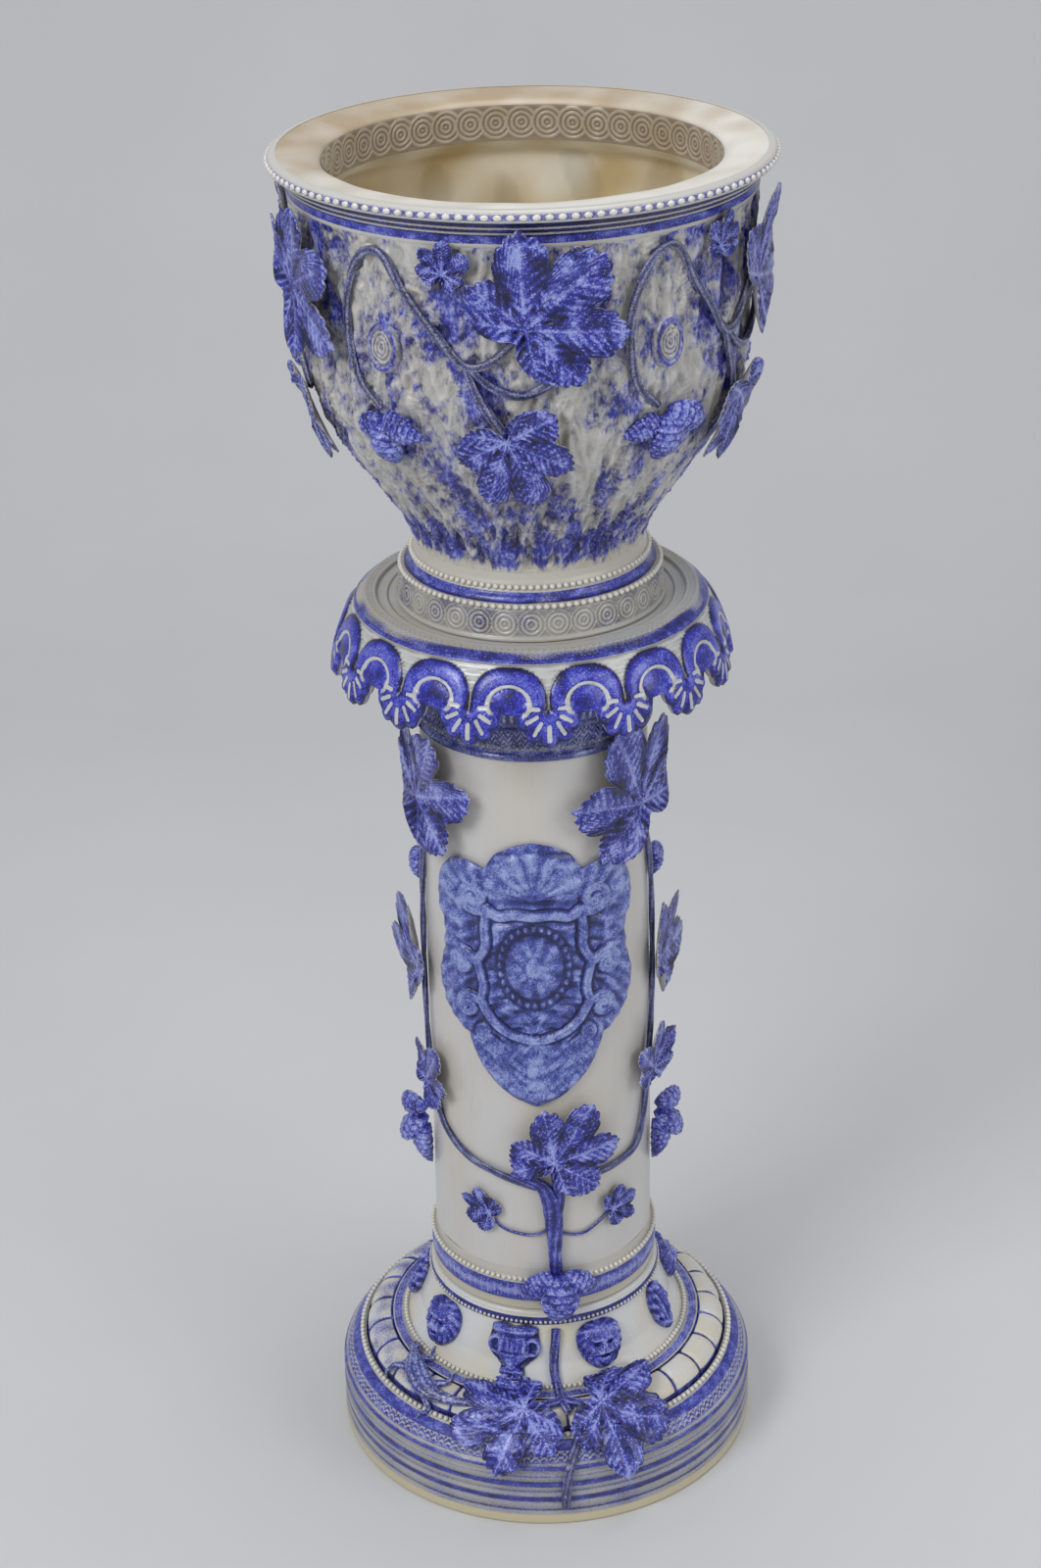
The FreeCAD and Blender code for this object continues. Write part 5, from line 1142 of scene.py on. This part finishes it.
for seed, (name, length, angle, share, heading, lift, curl, fold) in enumerate((
        ("front_leaf", 66, 6, 0.245, 58, ON_VINE, 0.3, 0),
        ("small_leaf_left", 30, -28, 0.125, 160, 0, 0.3, 0),
        ("small_leaf_right", 30, 37, 0.115, 20, 0, 0.3, 0),
        ("upper_leaf_left", 88, -70, 0.885, 62, ON_VINE, 0.34, 0),
        ("upper_leaf_right", 88, 57, 0.885, 118, ON_VINE, 0.34, 0),
        ("curled_leaf_left", 66, -84, 0.53, 140, ON_VINE, 0.3, -46),
        ("curled_leaf_right", 66, 84, 0.53, 40, ON_VINE, 0.3, 46),
        ("side_leaf_left", 46, -70, 0.335, 60, ON_VINE, 0.3, 0),
        ("side_leaf_right", 46, 69, 0.35, 80, ON_VINE, 0.3, 20))):
    skin_piece(name + "_blade", [vine_leaf(
        shaft_wall, angle, shaft_length(share), length, heading, lift, curl,
        fold, seed=seed + 31)], leaf_glaze, "column", "leaves", name)
for side, name in ((-1, "left"), (1, "right")):
    skin_piece("hop_pair_%s_cones" % name, [
        hop_cone(shaft_wall, side * 92, on_shaft(0.74), 270 + side * 8, 0, 0.8),
        hop_cone(shaft_wall, side * 92, on_shaft(0.735), 270 + side * 52, 1.5, 0.8)],
        leaf_glaze, "column", "hop_cones", "hop_pair_" + name)
    skin_piece("hop_trio_%s_cones" % name, [
        hop_cone(shaft_wall, side * 80, on_shaft(0.22), 270 - side * 4, 2, 1.05),
        hop_cone(shaft_wall, side * 82, on_shaft(0.23), 270 + side * 30, 3, 1.0, 0.55),
        hop_cone(shaft_wall, side * 80, on_shaft(0.255), 270 + side * 75, 4, 0.85, 0.6)],
        leaf_glaze, "column", "hop_cones", "hop_trio_" + name)
skin_piece("hop_trio_front_cones", [hop_cone(band_wall, 7, 215, 268, 4.5, 1.3),
                                    hop_cone(band_wall, 4.5, 214, 212, 0.5, 0.95),
                                    hop_cone(band_wall, 9.5, 214, 328, 1.0, 0.95)],
           leaf_glaze, "column", "hop_cones", "hop_trio_front")


# ---------------------------------------------------------------- column: scrollwork cartouche
# One pressed relief in pale and dark blue: an oval boss with a pearl ring in a strapwork frame,
# a shell above, scrolls at the shoulders and the hips, and a string of bell-flowers below.
def plaque(wall, angle, along, corners, scale, front, rest, spokes=96, rings=22):
    """A closed relief whose edge runs through corners (x, y), mirrored, and whose face stands
    front(x, y, share) mm over the wall; x and y are in mm from its middle."""
    edge = np.array(list(corners) + [(-x, y) for x, y in corners[-2:0:-1]], float) * scale
    far = np.arctan2(edge[:, 1], edge[:, 0])
    order = np.argsort(far)
    spoke = np.linspace(-np.pi, np.pi, spokes, endpoint=False)
    reach = np.interp(spoke, far[order], np.hypot(edge[:, 0], edge[:, 1])[order], period=2 * np.pi)
    reach = (np.roll(reach, 1) + 2 * reach + np.roll(reach, -1)) / 4
    face = np.linspace(0.03, 1, rings)
    share = np.concatenate([face, [0.99, 0.6, 0.2]])[:, None]
    x, y = share * reach * np.cos(spoke), share * reach * np.sin(spoke)
    height, fields = front(x, y, share)
    is_face = np.arange(len(share))[:, None] < rings
    points = on_wall(wall, angle, along, x, y, np.where(is_face, rest + height, rest))
    # the sides and back get cobalt, warm and hollow 0.4; hollow there is painted shade where the
    # relief meets the wall
    fields = {key: np.where(is_face, value, 0.4) for key, value in fields.items()}
    return closed_skin(points, **fields)


def spiral(x, y, start, turns, radius, tight=0.2):
    """Points of a scroll that winds in to (x, y) from radius, with turns in whole circles."""
    sweep = np.linspace(0, 1, int(abs(turns) * 16) + 2)
    angle = math.radians(start) + 2 * math.pi * turns * sweep
    size = radius * (1 - (1 - tight) * sweep)
    return list(zip(x + size * np.cos(angle), y + size * np.sin(angle)))


def rounded(path):
    """A path with its corners cut twice, so that a stroke along it flows."""
    points = np.array(path, float)
    for _ in range(2):
        run = points[1:] - points[:-1]
        inner = np.stack([points[:-1] + run * 0.25, points[:-1] + run * 0.75], 1).reshape(-1, 2)
        points = np.concatenate([points[:1], inner[1:-1], points[-1:]])
    return points.tolist()


def cartouche_face(x, y, share):
    """Height over the wall in mm: a cushioned field, and on it the highest of the boss
    4.4 sqrt(1 - d^2), pearls, strapwork strokes, plumes, shell, swag and bell-flowers."""
    fx = np.abs(x)
    field = np.interp(share, [0, 0.3, 0.6, 0.85, 0.95, 1], [2.6, 2.2, 2.0, 2.4, 2.6, 1.4])
    boss = np.hypot(x / 25, (y - 10) / 32)
    petals = 1.1 * np.cos(np.arctan2((y - 10) * 0.78, x) * 10) * soft(boss, 0.3, 0.5)
    dome = np.sqrt(np.clip(1 - boss ** 2, 0, 1))
    cabochon = np.where(boss < 1, (3.2 + petals - 1.4 * bump(boss, 0.34, 0.07)) * dome, 0)
    beads = bump(boss, 1.19, 0.07) * (
        1.4 + 1.3 * np.cos(np.arctan2((y - 10) * 0.78, x) * 28))
    bands, near = [], np.full(x.shape, 1e9)
    for path, half, height in (
            ([(0, 60), (16, 62), (30, 57), (40, 64)] + spiral(52, 74, 220, 1.35, 15), 6.4, 5.2),
            ([(40, 62), (43, 46), (41, 26), (50, 12)] + spiral(65, 6, 160, -1.3, 13), 6.0, 4.8),
            ([(50, 10), (44, -12), (48, -28)] + spiral(60, -36, 140, -1.25, 12), 5.6, 4.6),
            ([(48, -28), (38, -46), (26, -56), (10, -62), (0, -63)], 5.8, 4.8),
            ([(30, -70), (40, -62)] + spiral(45, -58, 230, 1.1, 8), 4.4, 3.6),
            ([(12, -92), (22, -84)] + spiral(29, -80, 230, 1.1, 8), 4.2, 3.4)):
        rise, gap = stroke(fx, y, rounded(path), half * 0.72, height)
        bands.append(rise - 1.9 * np.exp(-(gap / (half * 0.26)) ** 2))
        near = np.minimum(near, gap / half)
    fan, out = np.arctan2(fx, y - 78), np.hypot(fx, y - 78)
    shell = window(out, 6, 14, 40, 48) * soft(y, 74, 82) * (3.4 + 1.5 * np.cos(fan * 15))
    plume_turn = np.arctan2(y - 10, fx - 34)
    plume = soft(fx, 58, 66) * (2.2 + 1.2 * np.cos(plume_turn * 26 + fx * 0.16))
    fronds = np.cos(np.arctan2(fx - 40, y - 60) * 20)
    crest = soft(y, 78, 88) * soft(fx, 34, 44) * (2.4 + 1.3 * fronds)
    swag = soft(-y, 64, 70) * (1.8 + 1.1 * np.cos(fx * 0.72) * np.cos(y * 0.62 + fx * 0.2))
    drop = np.zeros_like(x)
    for level in (-82, -96, -109, -120):
        bell = np.hypot(x / 8, (y - level) / 7)
        drop = np.maximum(drop, np.where(bell < 1, (4.8 + 0.9 * np.cos(fx * 1.1)) * np.sqrt(
            np.clip(1 - bell ** 2, 0, 1)), 0))
    spray = np.arctan2(y + 64, fx + 4) * 9 + np.hypot(fx, y + 64) * 0.2
    buds = np.cos(spray) * np.cos(0.42 * np.hypot(fx, y + 64) + 1.4 * np.cos(spray))
    tendrils = (1.5 + 1.5 * buds) * soft(near, 0.9, 1.4) * soft(boss, 1.3, 1.45)
    detail = np.maximum.reduce([cabochon, beads, *bands, shell, plume, crest, swag, drop,
                                tendrils])
    height = np.minimum(field + detail, 9.8) * (1 - 0.35 * soft(share, 0.96, 1))
    top = soft(detail, 0.6, 3.8)
    # hollow: painted shade on the low ground round the details and painted highlight on their
    # tops, with a little noise
    return height, {"cobalt": 1.0 - 0.16 * top, "warm": 0.0,
                    "hollow": 0.6 * soft(-detail, -1.2, 0.2) - 0.7 * top + 0.2 + 0.08 * noise(
                        x, y, 0 * x, 22, 82)}


scroll_glaze = stoneware("washed_blue_scroll_relief", glaze="b4bedb", cobalt="4552a8",
                         deep="1c2568", pale="93a1d6", grain_mm=1.5, spread=0.25, flecks=0.5,
                         rough=0.28, pits=0.6)
CARTOUCHE_EDGE = [(0, 0.5), (0.09, 0.485), (0.17, 0.45), (0.22, 0.39), (0.31, 0.41), (0.4, 0.4),
                  (0.47, 0.34), (0.5, 0.25), (0.45, 0.13), (0.46, 0.04), (0.5, -0.06),
                  (0.47, -0.15), (0.4, -0.21), (0.32, -0.25), (0.27, -0.34), (0.2, -0.41),
                  (0.1, -0.47), (0, -0.5)]
skin_piece("cartouche_scrollwork", [plaque(
    shaft_wall, -2, shaft_length(0.605), CARTOUCHE_EDGE, np.array([190, 262]),
    cartouche_face, 0.8, 380, 96)], scroll_glaze, "column", "cartouche", "cartouche")

# ---------------------------------------------------------------- base: ring, bands and drum
# Thrown base: cream cone, stamped blue band, ring of 28 puffed panels parted by blue lines,
# bead row, bright band, chevron band, and a ribbed drum over a bare foot.  z 0 to 173 mm.
drum_line = turned_line([(183, 0), (192.6, 0), (194.6, 0.8), (195.4, 2.4), (195, 61.5),
                         (194, 63.6), (190.8, 66.2)], 0.95, ease=1)


def drum_rise(angle, arc, radius, height):
    """Ribs, 0.4 (cos(2 pi height / 10.4) - 1) mm, plus dots 0.3 cos(266 angle) cos(2 pi height /
    5.2) mm, faded at both ends."""
    ribs = -0.5 + 0.5 * np.cos(2 * np.pi * (height - 12) / 10.4)
    dots = 0.3 * np.cos(angle * 266) * np.cos(2 * np.pi * (height - 14.6) / 5.2)
    return (0.8 * ribs + dots) * window(height, 10.5, 12, 60, 62) * soft(radius, 190, 194)


def drum_colour(angle, arc, radius, height, proud):
    """Cobalt 0.3 plus 0.07 noise plus 0.75 times six stripes, each exp(-(distance / width)^4)
    of the height from its level; below 9.5 mm the clay is bare and warm."""
    x, y = plan(angle, radius)
    stripe = sum(np.exp(-((height - level) / wide) ** 4) * share for level, wide, share in (
        (28.6, 2.9, 1.0), (45.2, 2.7, 1.0), (62.6, 1.8, 1.0), (37.0, 1.0, 0.35), (54.2, 1.0, 0.35),
        (16.4, 1.2, 0.5)))
    wash = 0.3 + 0.07 * noise(x, y, height / 1.5, 40, 91)
    glazed = soft(height, 9.5, 12)
    # hollow 0.1 on the glaze, plus 0.32 as painted shade in the grooves between the ribs
    return {"cobalt": np.clip(glazed * (wash + 0.75 * stripe), 0, 1), "warm": 1.0 - 0.9 * glazed,
            "hollow": glazed * (0.32 * soft(-proud, 0.2, 1.0) + 0.1)}


drum_glaze = stoneware("grey_glaze_ribbed_drum", glaze="a6a8ad", clay="cabf9f", cobalt="3b40a6",
                       deep="282b60", pale="7c82ac", grain_mm=1.7, spread=0.4, streak=0.5,
                       flecks=0.35, edge=0.34)
turned_piece("base_drum", drum_line, 700, drum_glaze, "base", "base_body", drum_rise, drum_colour,
             ("base",))
slope_line = turned_line([(190.8, 66.2), (186, 76), (184.4, 78), (178, 83), (175.6, 85.2),
                          (172.6, 86.8)], 0.8, ease=1)


def slope_rise(angle, arc, radius, height):
    """Chevrons: 0.6 cos(2 pi (height + 15 u^2) / 4.6) - 0.35 mm, with u the place across each
    of 155 repeats, from -0.5 to 0.5."""
    u = (angle * 155 / (2 * np.pi)) % 1 - 0.5
    mark = np.cos(2 * np.pi * (height - 71 + 15 * u * u) / 4.6)
    return (0.6 * mark - 0.35) * window(height, 67, 68.2, 75, 76)


def slope_colour(angle, arc, radius, height, proud):
    """Cobalt 0.72 in the chevrons' grooves and 0.3 on their ridges, 1 in the bright band, and
    a bell at each of two lines; hollow 0.05 in the grooves, -0.35 on the ridges as painted
    highlight, and 0.6 as painted shade beside the bead row."""
    low = window(height, 66.8, 67.6, 75.6, 76.4)
    bright = window(height, 77, 78, 82.8, 83.6)
    painted = 0.72 - 0.42 * soft(proud, -0.3, 0.2)
    lines = 0.9 * bump(height, 76.8, 0.7) + 0.8 * bump(height, 66.4, 0.8)
    return {"cobalt": np.clip(low * painted + bright + lines, 0, 1), "warm": 0.1,
            "hollow": low * (0.4 * soft(-proud, 0.2, 0.7) - 0.35) + 0.6 * bump(height, 85.4, 1.2)}


turned_piece("base_slope_bands", slope_line, 820, stamped, "base", "base_body", slope_rise,
             slope_colour)
ring_line = turned_line([(172.6, 86.8), (146, 105, 6.6)], 1.1)


PANELS = 28


def ring_share(angle):
    """Place across a panel of the ring, from -0.5 to 0.5."""
    return (angle / (2 * np.pi) * PANELS + 0.5) % 1 - 0.5


def ring_rise(angle, arc, radius, height):
    """Each of 28 panels a cushion 1.5 (1 - (2 f)^4) - 1.5 mm at f from its middle, with a
    groove 1.6 exp(-(distance / 1.3)^2) mm deep between panels."""
    f = np.abs(ring_share(angle))
    ends = window(radius, 146, 149, 170.4, 172.6)
    puff = 1.5 * (1 - (f / 0.5) ** 4) * ends
    return puff - 1.5 - 1.6 * np.exp(-((f - 0.5) * 2 * np.pi * radius / PANELS / 1.3) ** 2)


def ring_colour(angle, arc, radius, height, proud):
    """Cobalt lines exp(-(distance / width)^4) in the grooves and at both edges, over 0.1 plus
    0.3 towards the left plus 0.1 noise; warm grows towards the right."""
    f = (np.abs(ring_share(angle)) - 0.5) * 2 * np.pi * radius / PANELS
    line = np.exp(-(f / 1.5) ** 4) + bump(radius, 171.9, 1.1, 4) + bump(radius, 147, 1.0, 4)
    x, y = plan(angle, radius)
    wash = 0.1 + 0.3 * soft(-x, 20, 150) + 0.1 * noise(x, y, height, 18, 92)
    # hollow: painted shade in the grooves between the panels and along both edges
    return {"cobalt": np.clip(line + wash, 0, 1),
            "warm": 0.16 + 0.25 * soft(x, -60, 140) + 0.12 * noise(x, y, height, 40, 93),
            "hollow": 0.35 * np.clip(line, 0, 1)}


cream = stoneware("cream_white_glaze_panels", glaze="d3d5d6", clay="d2c7a8", grain_mm=1.5,
                  spread=0.3, flecks=0.25, pits=0.22, rough=0.24)
turned_piece("base_ring_panels", ring_line, 868, cream, "base", "base_body", ring_rise,
             ring_colour)
inner_band = turned_line([(146, 105), (144.6, 105.9), (137, 106.4), (135, 105.4), (131.6, 106),
                          (131, 107.5)], 0.8, ease=1)


def net_rise(angle, arc, radius, height):
    """A net: 0.32 (cos(210 angle + 1.3 radius) cos(210 angle - 1.3 radius) - 0.6) mm."""
    zone = window(radius, 137.5, 139, 144, 145)
    net = np.cos(angle * 210 + radius * 1.3) * np.cos(angle * 210 - radius * 1.3)
    return 0.32 * (net - 0.6) * zone


def net_colour(angle, arc, radius, height, proud):
    """Cobalt 0.85 in the band, 0.5 where the net stands proud; hollow -0.1 to -0.4 there, a
    painted highlight over the band.
    """
    band = window(radius, 136.4, 137.2, 145, 145.8)
    return {"cobalt": band * (0.85 - 0.35 * soft(proud, -0.25, 0.1)),
            "warm": 0.2, "hollow": band * (0.3 * soft(-proud, 0.1, 0.5) - 0.4)}


turned_piece("base_inner_band", inner_band, 840, stamped, "base", "base_body", net_rise,
             net_colour)
cone_line = turned_line([(131, 107.5), (119, 125), (107.4, 157.8), (106.6, 159.2), (107.9, 161),
                         (108.2, 164.4), (107.4, 166.6), (106.4, 168), (106.4, 172.6),
                         (104, 173), (87.5, 173), (86.4, 174), (86.4, 178), (85.4, 179),
                         (77, 179)], 1.3, ease=1)


def cone_colour(angle, arc, radius, height, proud):
    """Cobalt 1 in the ring at the collar and 0.2 where noise is over 0.3; warm 0.2 plus 0.18
    noise; hollow, painted shade, 0.45 in the ring and 0.25 at the foot."""
    x, y = plan(angle, radius)
    ring = window(height, 158.6, 159.6, 166.6, 167.4)
    glow = 0.2 * soft(noise(x, y, height, 26, 94), 0.3, 2)
    return {"cobalt": np.clip(ring + glow, 0, 1), "warm": 0.2 + 0.18 * noise(x, y, height, 50, 95),
            "hollow": 0.45 * ring + 0.25 * soft(-height, -109.5, -107.5)}


turned_piece("base_cone", cone_line, 320, cream, "base", "base_body", None, cone_colour)
under = turned_line([(77, 179), (76.5, 165), (95, 153), (113, 100), (165, 77), (183, 53),
                     (183, 0)], 8.0)
# The inside's hollow of 0.2 is a little painted shade under the base.
turned_piece("base_inside", under, 96, toasted, "base", "base_body", wheel_marks(0.5, 22),
             even_tint(warm=0.6, hollow=0.2))
ball_rows("base_beads", [(133.6, 108.6, 160, 4.1, 4.6), (175.9, 87.2, 180, 4.7, 5.2)],
          bead_clay, "base", "base_body", warm=0.1)
ball_rows("base_collar_beads", [(107.9, 162.6, 150, 3.4, 3.6)], bead_clay, "base", "base_body",
          cobalt=0.36)


# ---------------------------------------------------------------- base: reliefs on the cone
# Lion masks, urns and acanthus husks pressed in moulds and laid on the cone every 40 degrees.
def hill(x, y, at_x, at_y, wide, tall):
    """A rounded rise of height 1 at (at_x, at_y)."""
    return np.exp(-((x - at_x) / wide) ** 2 - ((y - at_y) / tall) ** 2)


RELIEF_TALL = 46


def mask_face(x, y, share):
    """Lion mask in units of its height: a dome with brows, nose, muzzle, chin, cheeks and ears
    as rounded hills, eyes and mouth sunk, and wavy locks round the edge."""
    u, v = np.abs(x) / RELIEF_TALL, y / RELIEF_TALL
    dome = 0.24 * np.sqrt(np.clip(1 - share ** 2, 0, 1)) + 0.03
    turn = np.arctan2(v, u)
    mane = 0.026 * np.cos(turn * 15 + 4 * np.sin(share * 7)) * soft(share, 0.66, 0.8)
    shape = (0.1 * hill(u, v, 0, 0.03, 0.05, 0.14) + 0.09 * hill(u, v, 0.08, -0.13, 0.08, 0.07)
             + 0.07 * hill(u, v, 0.13, 0.15, 0.09, 0.04) - 0.1
             * hill(u, v, 0.13, 0.07, 0.05, 0.035) + 0.035 * hill(u, v, 0.13, 0.07, 0.022, 0.018)
             + 0.06 * hill(u, v, 0.24, -0.04, 0.07, 0.09) + 0.06
             * hill(u, v, 0, -0.05, 0.055, 0.03) - 0.1 * hill(u, v, 0, -0.22, 0.11, 0.025) + 0.06
             * hill(u, v, 0, -0.3, 0.08, 0.05) + 0.06 * hill(u, v, 0.3, 0.3, 0.07, 0.07))
    height = RELIEF_TALL * np.maximum(dome + shape + mane, 0.03)
    raised = soft(shape + mane, 0.0, 0.07)
    # hollow: painted shade where the face sinks, at eyes and mouth, and painted highlight on its
    # raised features
    return height, {"cobalt": 0.95 - 0.3 * raised, "hollow": 0.7
                    * soft(-shape - mane, -0.005, 0.05) - 0.6 * raised + 0.05}


def urn_face(x, y, share):
    """Two-handled urn: a rolled lip, a fluted neck, a swelling body between two scrolled
    handles that stand off behind a groove dark with painted shade, and a stepped foot."""
    u, v = np.abs(x) / RELIEF_TALL, y / RELIEF_TALL
    body = np.interp(v, [-0.5, -0.42, -0.32, -0.1, 0.1, 0.28, 0.36, 0.5],
                     [0.26, 0.26, 0.12, 0.34, 0.36, 0.26, 0.44, 0.46])
    inside = soft(body - u, 0.0, 0.05)
    round_body = 0.2 * np.sqrt(np.clip(1 - (u / (body + 0.02)) ** 2, 0, 1)) * inside
    handle = 0.1 * np.exp(-((np.hypot((u - 0.36) / 0.9, v - 0.08) - 0.15) / 0.04) ** 2)
    rim = 0.05 * bump(v, 0.43, 0.04) + 0.04 * bump(v, -0.45, 0.04)
    flutes = 0.018 * np.cos(x * 1.3) * window(v, -0.02, 0.06, 0.3, 0.34) * inside
    groove = -0.05 * bump(v, 0.33, 0.025) - 0.04 * bump(v, -0.02, 0.02)
    height = RELIEF_TALL * np.maximum(round_body + np.maximum(handle, rim * inside) + flutes
                             + groove * inside + 0.04, 0.025)
    gap = (1 - inside) * soft(-handle, -0.03, 0.0)
    raised = soft(flutes + rim + handle, 0.01, 0.06)
    # hollow: painted shade in the gap behind the handles and in the grooves and flutes, painted
    # highlight on the raised lip, flutes and handles
    return height, {"cobalt": 0.96 - 0.25 * raised, "hollow": 0.75 * gap + 0.5 * soft(
        -(groove + flutes), -0.005, 0.04) - 0.5 * raised - 0.1}


def husk_face(x, y, share):
    """Acanthus husk: a long bud with a raised rib and ribs that fan from its lower tip."""
    u, v = np.abs(x) / RELIEF_TALL, y / RELIEF_TALL
    ribs = 0.022 * np.cos(np.arctan2(u, v + 0.75) * 46) * soft(u, 0.02, 0.05)
    notch = 0.03 * np.cos(2 * np.pi * (v * 4.6 - u * 2.2)) * soft(share, 0.55, 0.8)
    height = RELIEF_TALL * np.maximum(0.19 * np.sqrt(np.clip(1 - share ** 2, 0, 1)) + 0.04
                                      * np.exp(
        -(u / 0.03) ** 2) + ribs + notch + 0.03, 0.03)
    raised = soft(ribs + notch, 0.0, 0.03)
    # hollow: painted shade between the ribs and notches, painted highlight on them
    return height, {"cobalt": 0.95 - 0.25 * raised, "hollow": 0.7 * soft(-ribs - notch, 0, 0.03)
                    - 0.5 * raised}


cone_wall = make_wall([(131, 107.5), (119, 125), (107, 159)], 0)
ORNAMENTS = {
    "lion_mask": ([(0, 0.5), (0.24, 0.49), (0.42, 0.36), (0.48, 0.12), (0.43, -0.14),
                   (0.32, -0.34), (0.16, -0.48), (0, -0.5)], mask_face, (1, 3, 5, 8)),
    "urn": ([(0, 0.5), (0.46, 0.5), (0.47, 0.36), (0.5, 0.22), (0.54, 0.08), (0.48, -0.1),
             (0.34, -0.22), (0.22, -0.34), (0.28, -0.5), (0, -0.5)], urn_face, (2, 6)),
    "acanthus": ([(0, 0.54), (0.17, 0.5), (0.26, 0.34), (0.3, 0.14), (0.28, -0.06), (0.24, -0.26),
                  (0.14, -0.44), (0, -0.56)], husk_face, (0, 4, 7))}
for kind, (corners, face, places) in ORNAMENTS.items():
    for count, place in enumerate(places, start=1):
        node = "%s_%d" % (kind, count)
        skin_piece(node + "_relief", [plaque(
            cone_wall, -94.7 + 40 * place, length_at(cone_wall, 135.5), corners, RELIEF_TALL,
            face, SEAT_GAP, 132, 40)], leaf_glaze, "base", "cone_reliefs", node)

# ---------------------------------------------------------------- base: stem, leaves and lizard
# The trunk's foot runs down the cone, over the ring and the drum; two leaves lie beside it and
# a lizard creeps along the ring.
drape_wall = make_wall([(195.5, 2), (195, 62), (191, 66), (186, 76), (178, 83), (175.5, 87),
                        (173, 87), (146, 105, 7), (136, 106), (133.5, 110), (131, 107.5),
                        (119, 125), (107, 159)], 0)
drape_length = drape_wall[1][-1]


def draped(route, half=4.0, tall=5.2):
    """A stem over cone, ring and drum through a route of (angle, share of the drape's length)."""
    return strand(drape_wall, [(angle, drape_length * share, 1.0, half, tall)
                               for angle, share in route], grooves=5, cobalt=0.72)


skin_piece("base_stem_strands", [
    draped([(5, 0.985), (4.4, 0.93), (3.4, 0.86), (3.2, 0.8), (4, 0.7), (5, 0.6), (7, 0.54)]),
    draped([(5, 0.6), (-1, 0.575), (-7, 0.55)]), draped([(5, 0.6), (11, 0.575), (17, 0.55)])],
    climb_glaze, "base", "vines", "base_stem")
skin_piece("base_stem_tail_strand", [draped([(10, 0.47), (8.5, 0.41), (6.8, 0.35), (5.4, 0.28),
                                             (4.8, 0.2), (4.5, 0.1)])],
           vine_glaze, "base", "vines", "base_stem_tail")
for side, angle, heading in (("left", -7, 208), ("right", 17, -30)):
    skin_piece("base_leaf_%s_blade" % side, [vine_leaf(
        drape_wall, angle, drape_length * 0.55, 72, heading, 6.55, 0.16, seed=len(side) + 40)],
        leaf_glaze, "base", "leaves", "base_leaf_" + side)
hide_glaze = stoneware("speckled_blue_lizard_hide", glaze="b9c0d8", cobalt="4651a8", deep="1a2166",
                       pale="98a4da", grain_mm=2.6, spread=0.8, flecks=0.9, rough=0.3, pit_mm=2.4,
                       pits=1.0)
lizard_turn = math.degrees(128 / 173)


def creep(route):
    """Stations on the drape from (share of the lizard's length, share of the drape's length,
    half width, height), from its nose at -62 degrees."""
    return [(-62 + share * lizard_turn, drape_length * level, 1.0, half, tall)
            for share, level, half, tall in route]


lizard = [strand(drape_wall, creep([
    (-0.02, 0.665, 2.6, 4), (0.01, 0.662, 5.4, 8), (0.06, 0.65, 7.0, 10), (0.12, 0.63, 4.6, 9),
    (0.22, 0.6, 7.6, 12), (0.36, 0.56, 8.6, 13), (0.5, 0.535, 7.4, 11), (0.62, 0.53, 4.8, 8),
    (0.8, 0.54, 3.2, 5), (1.0, 0.56, 1.4, 2.4)]), grooves=11, twist=0.0, cobalt=0.7, sides=30,
    rib=0.03)]
for leg in (((0.2, 0.63), (0.27, 0.68), (0.2, 0.72)), ((0.2, 0.57), (0.1, 0.54), (0.05, 0.49)),
            ((0.5, 0.56), (0.6, 0.6), (0.56, 0.65)), ((0.5, 0.5), (0.56, 0.45), (0.5, 0.42))):
    limb = [leg[0] + (3.8, 6), leg[1] + (2.6, 4.6), leg[2] + (2.0, 3)]
    lizard.append(strand(drape_wall, creep(limb), grooves=5, cobalt=0.7, rib=0.03))
    (x0, y0), (x1, y1) = leg[1], leg[2]
    for spread in (-0.9, -0.3, 0.3, 0.9):
        ex = x1 + (x1 - x0) * 0.36 + spread * (y1 - y0) * 0.45
        ey = y1 + (y1 - y0) * 0.4 - spread * (x1 - x0) * 0.3
        toe = [(x1, y1, 1.4, 2), ((x1 + ex) / 2, (y1 + ey) / 2, 1.2, 1.9), (ex, ey, 0.7, 1.2)]
        lizard.append(strand(drape_wall, creep(toe), cobalt=0.6, sides=8))
skin_piece("lizard_body", lizard, hide_glaze, "base", "cone_reliefs", "lizard")
